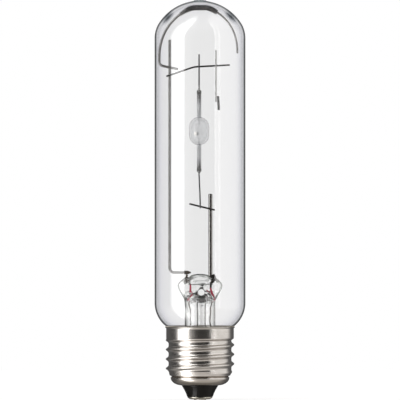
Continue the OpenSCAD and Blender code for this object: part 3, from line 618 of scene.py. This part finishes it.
def buildBulb():
    tip, turns = bulbShape["tipWide"] / 2, bulbShape["turns"]
    base = domeTop - tip ** 2 / 2 / (bulbRadius + bulbShape["crownExtra"])
    high, full = 0.35, 0.6      # the button's round edge and the whole of it, before it is stretched to fit
    button = [(tip + 0.5, 0.0), (tip + 0.12, 0.05), (tip, 0.2)]
    button += [(tip * cos(a), full - high + high * sin(a)) for a in angles(10, 80, 7)]
    outside = [p for p in bulbOutline(0) if p[1] < domeTop - 0.3 or p[0] > tip + 0.7]
    outside += [(r, base + z * (bulbHigh.z - base) / full) for r, z in button] + [(0, bulbHigh.z)]
    inside = bulbOutline(bulbShape["wall"])[::-1]
    bulb = lathe("bulbGlass", outside + inside, bulbOutside, ["outer_bulb"], turns=turns)
    bulb.data.materials.append(bulbInside)
    # The inner wall, and the straight of the neck that the cap hides
    faces = list(bulb.data.polygons)
    for face in faces[:turns] + faces[(len(outside) - 1) * turns:-turns]:
        face.material_index = 1


buildBulb()
print("bulb blown")


# Cap shell: heel, groove, rolled right-hand thread, plain band and rim bead
shellShape = dict(
    sheet=0.4, heel=3.0, heelIn=0.75, lip=7.15, pitch=3.629, threaded=15.06, depth=1.1, sharpness=2.5,
    lastCrest=2.6, foot=2.4, band=4.4, bandInset=0.18, beadOut=0.38, beadHigh=0.55, columns=168, rows=18)
shellLow, shellHigh = boxOf("cap_shell")
heelTop = shellLow.z + shellShape["heel"]
threadTop = heelTop + shellShape["threaded"]
rimTop = threadTop + shellShape["band"]


def buildShell():
    shape = shellShape
    sheet, high = shape["sheet"], shape["beadHigh"]
    bead = shellHigh.x
    band = bead - shape["beadOut"]
    root = band + shape["bandInset"] - shape["depth"]
    heel = root - shape["heelIn"]
    columns = allRound(shape["columns"])

    def ringAt(r, z):
        return [(r * cos(a), r * sin(a), z) for a in columns]

    def heelRing(tilt, inset):
        r = shape["lip"] + (heel - shape["lip"] - inset) * sin(tilt)
        return ringAt(r, heelTop - (shape["heel"] - inset) * cos(tilt))

    # The thread grows out of the heel, runs out above the groove and sinks into the band
    def threadRing(z, inset):
        foot = heel + 0.15 + (root - heel - 0.15) * min(1.0, (z - heelTop) / shape["foot"])
        head = ease(threadTop - 0.9, threadTop, z)
        deep = shape["depth"] * ease(heelTop + 0.9, heelTop + 3.2, z)
        ring = []
        for a in columns:
            turn = (z - threadTop + shape["lastCrest"]) / shape["pitch"] - a / tau
            r = foot + deep * ((1 + cos(tau * turn)) / 2) ** shape["sharpness"]
            r = (1 - head) * r + head * band - inset
            ring.append((r * cos(a), r * sin(a), z))
        return ring

    tilts = angles(0, 78, 13)      # up to the groove
    heights = []
    z = heelTop + 0.75
    while z < threadTop:
        heights.append(z)
        z += shape["pitch"] / shape["rows"]
    rings = [heelRing(tilt, 0) for tilt in tilts]
    rings += [ringAt(heel - inset, heelTop + lift) for inset, lift in
              ((0.03, -0.15), (0.04, 0.05), (0.12, 0.12), (0.45, 0.3), (0.45, 0.42), (0, 0.66))]
    rings += [threadRing(z, 0) for z in heights]
    rings += [ringAt(band, threadTop + lift) for lift in (0.05, 0.15, 0.4, 1.2, 2.4, 3.3, 3.6, 3.72)]
    rings += [ringAt(band + shape["beadOut"] * cos(t), rimTop - high / 2 + high / 2 * sin(t))
              for t in angles(-80, 80, 8)]
    rings += [ringAt(bead - 0.25, rimTop), ringAt(bead - sheet, rimTop - 0.03)]
    rings += [ringAt(band - sheet, rimTop - high), ringAt(band - sheet, threadTop)]
    rings += [threadRing(z, sheet) for z in heights[::-3]]
    rings += [ringAt(heel - sheet - 0.35, heelTop + 0.36), ringAt(heel - sheet, heelTop - 0.2)]
    rings += [heelRing(tilt, sheet) for tilt in tilts[::-2]]
    addPiece("capShellRolled", *skin(rings, loop=True), nickelShell, ["cap_shell"], sharp=50)


# Cement squeezed out between the rim and the glass
def buildSqueeze():
    edge = shellHigh.x - 0.08
    line = [(edge, rimTop + 0.02), (edge + 0.02, rimTop + 0.1), (edge - 0.1, rimTop + 0.2)]
    for lift in (0.24, 0.16, 0.1, 0.02):
        drop = bulbShape["shoulderHeight"] - rimTop - lift
        line.append((shoulderX + sqrt(bulbShape["shoulder"] ** 2 - drop ** 2) + 0.02, rimTop + lift))
    lathe("cementSqueezed", line, cementBead, [], turns=120)


buildShell()
buildSqueeze()
print("cap rolled")


# Insulator and contact under the shell
capShape = dict(
    contactWide=9.54, contactHigh=1.34, plate=0.4, hole=1.8, crown=4.0, glassHigh=4.4, flare=2.1,
    root=5.0)


def buildContact():
    shape = capShape
    top, root, hole = shape["contactHigh"], shape["root"], shape["hole"] / 2
    flare, high = shape["flare"], shape["glassHigh"] - 0.12
    box = boxOf("cap_insulator")[1]
    bell = [(root - 0.15, top)]
    bell += [(root + flare * t ** 1.3, top + 0.12 + high * t) for t in evenly(0, 1, 12)]
    edge = top + shape["glassHigh"] + 0.45
    bell += [(root + flare + (box.x - root - flare) * sin(t), box.z - (box.z - edge) * cos(t))
             for t in angles(0, 90, 6)]
    lathe("capInsulatorGlass", bell + [(hole, box.z), (hole, top)], blackGlass, ["cap_insulator"])
    edge = shape["contactWide"] / 2
    face = top - shape["plate"] - 0.55
    hole -= 0.1
    plate = [(hole, face)] + arc(edge - 1.2, face + 0.95, 0.95, -90, -45, 8)
    plate += [(edge - 0.12, face + 0.48), (edge - 0.02, face + 0.58), (edge, top - 0.1), (edge - 0.03, top),
              (hole, top)]
    lathe("contactPlateStamped", plate, contactBrass, ["contact_plate"])
    crown = shape["crown"] / 2
    solder = [(0, 0), (crown * 0.6, 0.008), (crown, 0.035), (crown + 0.2, 0.09), (crown + 0.36, 0.2),
              (crown + 0.44, face), (hole, face), (hole, top), (0, top)]
    lathe("contactSolder", solder, solderTin)


buildContact()
print("contact soldered")


# Stem: tube with its flare, flat press with the jaws' marks, blow hole and bowl
stemShape = dict(
    tube=11.7, wall=0.36, flare=5.5, pressStart=37.2, rise=6.9, cap=4.3, wide=17.1, topWide=6.6,
    thick=5.0, flatStart=36.2, flatEnd=42.9, bowl=1.9, bowlTilt=0.07, holeWide=2.56, exhaustX=0.48,
    exhaustWide=3.4, exhaustBore=2.8, exhaustTip=0.6, sides=144, step=0.2)
rollShape = dict(left=-4.3, right=4.6, soft=0.9, waist=1.9, thick=4.7, sag=1.0, streaks=0.55, middle=0.53)
# Small pits where the glass folded over: x, z, radius, depth
pressFolds = [(-5.6, 45.3, 1.0, 1.5), (6.9, 45.9, 1.1, 1.2), (1.2, 44.1, 1.5, 1.2), (-2.6, 41.0, 0.9, 0.8)]
pressStart = stemShape["pressStart"]
pressWide = pressStart + stemShape["rise"]
pressTop = pressWide + stemShape["cap"]
holeHeight = pressWide - 2.8
bowlEdge = pressStart + 1.8
bowlTop = bowlEdge - stemShape["bowl"]
stemBore = stemShape["tube"] - 2 * stemShape["wall"]
neckEnd = bulbLow.z


# Oval ring; a power above 2 squares its corners
def stemRing(wide, deep, z, power=2.0):
    ring = []
    for a in allRound(stemShape["sides"], 0.5):
        c, s = cos(a), sin(a)
        ring.append((wide / 2 * copysign(abs(c) ** (2 / power), c),
                     deep / 2 * copysign(abs(s) ** (2 / power), s), z))
    return ring


def pressDeep(z):
    shape = stemShape
    return shape["tube"] + (shape["thick"] - shape["tube"]) * ease(shape["flatStart"], shape["flatEnd"], z)


def lumpy(x, y, side):
    return noise.noise(Vector((x, y, side)))


# One level of the press: soft glass still wavy low down, a flat field where the jaws bit, a roll on top
def pressRing(level):
    shape, roll = stemShape, rollShape
    t = (level - pressWide) / shape["cap"]
    wide = shape["tube"] + (shape["wide"] - shape["tube"]) * ease(pressStart, pressWide, level)
    if t > 0:
        wide = shape["topWide"] + (shape["wide"] - shape["topWide"]) * (1 - t ** 1.6)
    deep = pressDeep(level)
    waves = 0.3 * ease(37.0, 38.4, level) * ease(42.4, 40.6, level)
    ring = []
    for x, y, z in stemRing(wide, deep, level, 2 + 1.6 * ease(pressStart, pressWide, level)):
        share = abs(y) / (deep / 2)
        side = 50 if y > 0 else 20
        inRoll = ease(roll["left"] - roll["soft"], roll["left"], x)
        inRoll *= ease(roll["right"] + roll["soft"], roll["right"], x)
        half = deep / 2
        if t > 0:
            off = abs(t - roll["middle"]) / (1 - roll["middle"])
            bulge = sqrt(max(0.0, 1 - min(off, 1.0) ** 2))
            rolled = roll["waist"] + (roll["thick"] / 2 - roll["waist"]) * bulge
            if t > roll["middle"]:
                rolled = roll["thick"] / 2 * bulge + 0.02
            plain = half * (1 - 0.55 * t ** 3)
            half = plain + (rolled - plain) * inRoll * ease(0, 0.07, t)
            half += roll["streaks"] * lumpy(x * 0.5, z * 1.4, side) * bulge * inRoll
        half += waves * ease(5.6, 3.6, abs(x)) * (lumpy(x * 0.9, z, side) +
                                                  0.5 * lumpy(x * 2.0, z * 2.2, side + 7))
        for foldX, foldZ, radius, depth in pressFolds:
            half -= depth * ease(radius, 0, hypot(x - foldX, z - foldZ))
        sag = roll["sag"] * (x / roll["right"]) ** 2 * inRoll * ease(0.4, 1, t)
        ring.append((x, copysign(half * share, y), z - sag))
    return ring


# The hollow's roof: the glass hangs down like a bowl round the exhaust tube, lumpy from the flame
def bowlRing(t):
    shape = stemShape
    start = shape["exhaustWide"] + 0.04
    wide = start + (stemBore - start) * sin(t * pi / 2)
    level = bowlTop + (bowlEdge - bowlTop) * t ** 1.7
    deep = wide + (min(wide, pressDeep(level) - 2 * shape["wall"]) - wide) * t
    lumps = 0.9 * sin(pi * t / 0.92) if t < 0.92 else 0
    ring = []
    for x, y, z in stemRing(wide, deep, level):
        z += lumps * (lumpy(x * 0.8, y * 0.8, 74) + 0.6 * lumpy(x * 1.9, y * 1.9, 89))
        ring.append((x + shape["exhaustX"] * (1 - t), y, z - shape["bowlTilt"] * x * t * t))
    return ring


def cutWith(piece, rings):
    tool = addObject("cutter", newMesh("cutter", *skin(rings)))
    cut = piece.modifiers.new("cut", "BOOLEAN")
    cut.operation, cut.solver, cut.object = "DIFFERENCE", "EXACT", tool
    bpy.context.view_layer.update()
    shown = piece.evaluated_get(bpy.context.evaluated_depsgraph_get())
    result = bpy.data.meshes.new_from_object(shown)
    piece.modifiers.clear()
    piece.data = result
    bpy.data.objects.remove(tool)


def buildStem():
    shape = stemShape
    tube, wall, flat, middle = shape["tube"], shape["wall"], shape["flatStart"], shape["exhaustX"]
    neck = 2 * bulbShape["neck"]
    rim = neck - 2 * bulbShape["wall"]

    def circle(wide, z):
        return stemRing(wide, wide, z)

    def flare(wide, low):
        return [circle(wide + (rim - wide) * (1 - sin(t)), low + shape["flare"] * (1 - cos(t)))
                for t in angles(0, 90, 10)]

    levels = evenly(neckEnd + shape["flare"], flat, 12)[1:-1]
    outside = flare(tube, neckEnd) + [circle(tube, z) for z in levels]
    outside += [pressRing(z) for z in evenly(flat, pressTop, int((pressTop - flat) / shape["step"] + 0.5))]
    hollow = [bowlRing(t) for t in evenly(0, 1, 24)]
    hollow += [[(x, y, bowlEdge - drop - shape["bowlTilt"] * x * (1 - drop)) for x, y, z in hollow[-1]]
               for drop in (0.15, 0.5)]
    hollow += [circle(stemBore, z) for z in [flat] + levels[::-1]] + flare(stemBore, neckEnd - wall)[::-1]
    lip = [circle(neck - 0.4, neckEnd - wall), circle(neck, neckEnd - 0.7), circle(neck, neckEnd - 0.02)]
    stem = addPiece("stemGlass", *skin(hollow + lip + outside), stemGlass, ["glass_stem"], sharp=60)
    r = shape["holeWide"] / 2
    hole = [(middle + r * cos(a), holeHeight + r * sin(a)) for a in allRound(48)]
    cutWith(stem, [[(x, y, z) for x, z in hole] for y in (-8, 8)])
    # The exhaust's bore runs on up and ends in a bubble under the hole: half widths and heights
    blown = [(0.9, -0.4), (0.9, 0.3), (1.1, 1.0), (1.6, 1.8), (1.65, 2.5), (1.4, 2.95), (0.8, 3.25),
             (0.2, 3.35)]
    cutWith(stem, [[(middle + x, y, z) for x, y, z in stemRing(2 * half, 1.6 * half, bowlTop + lift, 4)]
                   for half, lift in blown])
    stem.data.shade_smooth()
    stem.data.set_sharp_from_angle(angle=radians(50))
    stem.data.materials.append(pressGlass)
    stem.data.materials.append(bubbleDarkGlass)
    for face in stem.data.polygons:
        centre = face.center / mm
        aside = max(abs(centre.x - middle), abs(centre.y))
        inBubble = aside < 1.88 and bowlTop < centre.z < bowlTop + 3.75
        face.material_index = 2 if inBubble else int(centre.z > bowlEdge)


def buildExhaust():
    shape = stemShape
    r, bore = shape["exhaustWide"] / 2, shape["exhaustBore"] / 2
    low = neckEnd + shape["exhaustTip"]
    levels = evenly(low + 2 * r + 0.3, bowlTop - 0.02, 8)
    outline = [(0, low)] + arc(0, low + r, r, -80, 0, 8)
    outline += [(r, z) for z in levels] + [(bore, z) for z in levels[::-1]]
    outline += [(bore, low + 2 * r), (bore * 0.6, low + 1.6 * r), (0, low + 1.4 * r)]
    lathe("exhaustTube", outline, stemGlass, x=shape["exhaustX"], turns=72)


buildStem()
buildExhaust()
print("stem pressed")


# Leads in the press and down the tube
leadShape = dict(
    seal=0.72, lead=0.5, inner=0.8, leftX=3.64, rightX=3.8, innerX=5.0, wave=0.2, knob=1.8, weldWide=1.4,
    weldLong=2.6, shellIn=11.7, shellEnd=21.3)      # the left lead ends on the shell's inside
frameShape = dict(
    leftX=11.6, leftWide=1.05, rightX=4.0, rightWide=1.5, depth=0.8, footBend=1.3, footEnd=6.1,
    footLift=0.5, cross=0.66, upperCross=124.5, touch=0.02)
footHeight = pressTop + frameShape["footLift"]
sealEnd = bowlEdge - 1.35


def buildLeads():
    lead, rods = leadShape, frameShape
    seal, thin, inner, knob = lead["seal"], lead["lead"], lead["inner"], lead["knob"]
    depth = rods["depth"]
    left, outer = -lead["leftX"], -lead["innerX"]
    path = [(outer, depth, footHeight - 0.76), (outer - 0.1, depth, pressTop - 1),
            (outer - 0.4, depth * 0.7, pressTop - 2), (left, 0, pressWide + 0.6), (left, 0, pressWide)]
    addWire("leftInnerLead", rounded(path, 0.7), inner, burntWeld)
    path = [(left, 0, pressWide), (left, 0, holeHeight), (left + 0.7, 0, holeHeight - 1.5),
            (left + 0.3, 0, sealEnd + 1.0), (left - 0.5, 0, sealEnd)]
    addWire("leftSealWire", rounded(path, 0.6), seal, sealCopper)
    right, back = rods["rightX"] - 0.25, depth - (rods["rightWide"] + knob) / 2 - rods["touch"]
    path = rounded([(right + 0.9, back, pressTop - 0.4), (right + 1.7, back, pressTop - 1.6),
                    (right + 0.4, back, pressWide + 0.4), (right + 0.3, back, holeHeight + 1.8)], 0.9)
    sizes = [inner + (knob - inner) * ease(pressWide + 0.2, pressWide + 2.2, p.z) for p in path]
    addWire("rightInnerLead", path, sizes, blackWeld)
    path = [(right - 1.3, back, holeHeight + 0.9), (right - 0.6, back, holeHeight),
            (right + 0.3, back + 0.1, holeHeight - 1.2)]
    addWire("rightSealBranch", rounded(path, 0.5), seal * 0.6, sealCopper, [])
    end = lead["rightX"] + 0.4
    path = [(right + 0.3, back, holeHeight + 1.8), (right + 0.3, back, holeHeight + 1.2),
            (right + 0.8, back, holeHeight - 0.6), (end + 0.6, 0, sealEnd + 1.4), (end, 0, sealEnd)]
    addWire("rightSealWire", rounded(path, 0.6), seal, sealCopper)
    beside = -(bulbShape["neck"] + lead["shellIn"]) / 2
    under = neckEnd - stemShape["wall"] - 0.8
    path = [(left - 0.5, 0, sealEnd), (left - 0.5, 0, sealEnd - 0.4), (left, 0, sealEnd - 2.5),
            (left, 0, under), (beside, 0, under), (beside, 0, lead["shellEnd"])]
    addWire("leftLeadWire", rounded(path, 0.8), thin, copperLead, sides=12)
    path = [(end, 0, sealEnd), (end, 0, sealEnd - 0.4)]
    path += [(end - 0.3 + lead["wave"] * sin(k * 1.9), 0, sealEnd - 2.5 - 1.7 * k) for k in range(10)]
    path += [(lead["rightX"], 0, neckEnd - 2), (0, 0, neckEnd - 3.4), (0, 0, capShape["contactHigh"])]
    addWire("rightLeadWire", rounded(path, 1.2), thin, copperLead, sides=12)
    path = [(x, depth, footHeight) for x in evenly(-rods["footEnd"], lead["weldLong"] - rods["footEnd"], 10)]
    sizes = [lead["weldWide"] * (1 - 0.55 * ease(0.5, 1, t)) for t in evenly(0, 1, 10)]
    addWire("leftFootWeld", path, sizes, burntWeld, sides=20)


buildLeads()
print("leads laid")


# Frame: support rods and cross wires
def buildFrame():
    rods = frameShape
    depth, wide, x = rods["depth"], rods["leftWide"], -rods["leftX"]
    bend = rods["footBend"] + wide / 2
    foot = [(px, depth, pz) for px, pz in arc(x + bend, footHeight + bend, bend, 180, 270, 12)]
    path = [(x, depth, boxOf("left_support_rod")[1].z)] + foot + [(-rods["footEnd"], depth, footHeight)]
    addWire("leftSupportRod", path, wide, frameNickel, sides=32)
    x = rods["rightX"]
    path = [(x, depth, pressTop - 1.1), (x, depth, boxOf("right_support_rod")[1].z)]
    addWire("rightSupportRod", path, rods["rightWide"], rodNickel, sides=32)
    low, high = boxOf("lower_cross_wire")
    y = (low.y + high.y) / 2
    path = [(low.x, y, high.z - 0.3), (high.x, y, low.z + 0.3)]
    addWire("lowerCrossWire", path, rods["cross"], crossNickelShaded)
    low, high = boxOf("upper_cross_wire")
    y, z = (low.y + high.y) / 2, rods["upperCross"]
    path = rounded([(-rods["leftX"] - 1.3, y, z - 0.39), (-rods["leftX"], y, z), (-2.3, y, z + 3.2),
                    (high.x, y, z + 3.936)], 1.3)
    addWire("upperCrossWire", path, rods["cross"], crossNickelShaded)


# Hoop that springs against the dome, with a coil round its crown
hoopShape = dict(
    wide=0.74, thick=0.96, bulge=0.2, left=15.6, right=14.3, leftHeight=131.3, rightHeight=133.7,
    base=127.5, top=150.4, flat=6.3, tail=3.2, bend=1.8, end=0.8)
coilShape = dict(wide=2.2, wire=0.47, turns=27, left=8.3, right=6.9, thin=0.3, tight=(0.3, 0.16))


def hoopSide(side, z, y, steps=24):
    wide, high = abs(side) - hoopShape["flat"] / 2, hoopShape["top"] - z
    r = (wide * wide + high * high) / (2 * wide)
    points = []
    for t in evenly(0, 1, steps):
        a = asin(high / r) * t
        out = r + hoopShape["bulge"] * sin(pi * t) ** 2
        points.append(Vector((side - copysign(r - out * cos(a), side), y, z + out * sin(a))))
    return points


def pointAlong(path, distance):
    for a, b in zip(path, path[1:]):
        step = (b - a).length
        if distance <= step:
            break
        distance -= step
    return a + (b - a) * distance / step


def buildHoop():
    hoop = hoopShape
    low, high = boxOf("top_hoop")
    y = (low.y + high.y) / 2
    left = hoopSide(-hoop["left"], hoop["leftHeight"], y)
    right = hoopSide(hoop["right"], hoop["rightHeight"], y)[::-1]
    rod = -frameShape["leftX"]
    tail = rounded([(rod + hoop["tail"], y, hoop["base"] - 0.2 * hoop["tail"]), (rod, y, hoop["base"]),
                    (-hoop["left"], y, hoop["base"] + 0.2 * (hoop["left"] + rod)), left[0]], hoop["bend"])
    crown = rounded([left[-3], left[-1], right[0], right[2]], 1.2)
    end = Vector((hoop["right"], y, hoop["rightHeight"] - hoop["end"]))
    path = tail + left[1:-3] + crown + right[3:] + [end]
    sizes = [hoop["wide"] + (hoop["thick"] - hoop["wide"]) * ease(2, -8, p.x) for p in path]
    addWire("topHoop", path, sizes, frameNickel, sides=20)
    toFlat = sum((b - a).length for a, b in zip(left[8:], left[9:]))
    buildCoil(left[8:-3] + crown + right[3:-8], toFlat + hoop["flat"] / 2)


# The coil along the hoop's crown, with thin tight ends
def buildCoil(line, middle):
    coil, rod, steps = coilShape, hoopShape["thick"] / 2, 20
    leftPart, rightPart = coil["tight"]
    across = Vector((0, 1, 0))
    points, sizes = [], []
    for i, share in enumerate(evenly(0, 1, coil["turns"] * steps)):
        place = middle - coil["left"] + (coil["left"] + coil["right"]) * share
        along = (pointAlong(line, place + 0.4) - pointAlong(line, place - 0.4)).normalized()
        turn = tau * i / steps
        full = ease(0, leftPart, share) * ease(1 + rightPart, 1 - rightPart, share)
        wire = coil["thin"] + (coil["wire"] - coil["thin"]) * full
        r = rod + wire / 2 + (coil["wide"] / 2 - rod - coil["wire"]) * full
        points.append(pointAlong(line, place) + (across.cross(along) * cos(turn) + across * sin(turn)) * r)
        sizes.append(wire)
    addWire("hoopCoilSpring", points, sizes, springSteel, sides=10)


buildFrame()
buildHoop()
print("frame bent")


# Burner: alumina body with its capillaries, frit, leads and dose
burnerShape = dict(wide=7.7, wall=0.7, capillary=1.66, bore=0.9, x=-0.35, lead=0.56, tungsten=0.25)
burnerLow, burnerHigh = boxOf("burner_body")
burnerX, burnerY = burnerShape["x"], (burnerLow.y + burnerHigh.y) / 2


def buildBody():
    def outline(inset):
        r = burnerShape["wide"] / 2 - inset
        edge = degrees(asin(burnerShape["capillary"] / 2 / r))
        low, high = burnerLow.z + burnerShape["wide"] / 2, burnerHigh.z - burnerShape["wide"] / 2
        return arc(0, low, r, edge - 90, 0, 24) + arc(0, high, r, 0, 90 - edge, 24)

    wall = outline(0) + outline(burnerShape["wall"])[::-1]
    lathe("burnerBody", wall, alumina, x=burnerX, y=burnerY)


# One end: side is upper or lower, out is 1 or -1, the way out of the burner
def buildEnd(side, out):
    shape, x, y = burnerShape, burnerX, burnerY
    r, bore = shape["capillary"] / 2, shape["bore"] / 2
    a, b = boxOf(side + "_capillary")
    tube = [(bore, a.z), (r, a.z), (r, b.z), (bore, b.z)]
    lathe(side + "Capillary", tube, aluminaThin, x=x, y=y, turns=48)
    root, neck = (b.z, burnerHigh.z) if out > 0 else (a.z, burnerLow.z)
    a, b = boxOf(side + "_electrode")
    tip, core, thin = a.z if out > 0 else b.z, (b.x - a.x) / 2, shape["tungsten"] / 2
    rod = [(0, tip), (thin * 0.8, tip), (thin, tip + 0.1 * out), (thin, neck - 0.2 * out),
           (core, neck + 0.2 * out), (core, root), (0, root)]
    lathe(side + "Electrode", rod, niobium, x=(a.x + b.x) / 2, y=(a.y + b.y) / 2, turns=32)
    a, b = boxOf(side + "_burner_lead")
    path = [(x, y, a.z), (x, y, b.z)]
    if side == "lower":      # it bends to the weld on the lower cross wire
        weld = y - 0.225
        path = rounded([(x, y, b.z), (x + 0.1, y, b.z - 2), (0.1, weld, a.z + 1.8), (0.1, weld, a.z)], 1.5)
    addWire(side + "BurnerLead", path, shape["lead"], niobium)


# Frit melted over the end of a capillary
def buildFrit(side, out):
    outer = int(out > 0)      # which corner of a box lies farther out
    last = boxOf(side + "_frit_seal")[outer].z
    r, end = burnerShape["capillary"] / 2 + 0.01, boxOf(side + "_capillary")[outer].z + 0.02 * out
    collar = [(r, end - 1.3 * out), (r + 0.03, end - 0.9 * out), (r + 0.03, end - 0.1 * out),
              (r - 0.08, end + 0.2 * out), (0.48, end + 0.34 * out), (0.34, end + 0.8 * out),
              (0.3, last), (0, last), (0, end), (r, end)]
    lathe(side + "FritSeal", collar, frit, x=burnerX, y=burnerY, turns=48, sharp=60)


def buildDose():
    low, high = boxOf("dose_bead")
    drop, middle = (high.x - low.x) / 2, (low + high) / 2
    # The mercury ball beside the iodide is a painted shadow as well as the dose's mercury
    for name, material, solids, r, aside in (("doseIodide", iodideSelfLit, ["dose_bead"], drop, -0.3),
                                             ("doseMercury", mercuryAsShadow, [], drop * 0.8, 0.36)):
        ball = [(0, middle.z - r)] + arc(0, middle.z, r, -75, 75, 10) + [(0, middle.z + r)]
        lathe(name, ball, material, solids, middle.x + aside, middle.y - aside * 0.2, turns=24)


# Getter strip on its holder, seen nearly edge on and leaning
def buildGetter():
    low, high = boxOf("getter_strip")
    middle, deep = (low.y + high.y) / 2, high.y - low.y
    centres = zip(evenly(low.x + 0.48, high.x - 0.4, 8), evenly(high.z, low.z, 8))
    rings = [[(x + px, middle + py, pz) for px, py, pz in stemRing(0.9, deep, z, 5)] for x, z in centres]
    addPiece("getterStrip", *skin(rings), getterPowder)
    low, high = boxOf("getter_holder")
    x, y = (low.x + high.x) / 2, (low.y + high.y) / 2
    addWire("getterHolder", [(x, y, low.z), (x, y, high.z)], 0.5, frameNickel)


buildBody()
buildEnd("upper", 1)
buildEnd("lower", -1)
buildDose()
buildFrit("upper", 1)
buildFrit("lower", -1)
buildGetter()
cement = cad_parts["cap_cement"].data.materials
cement.clear()
cement.append(capCement)
print("burner hung")
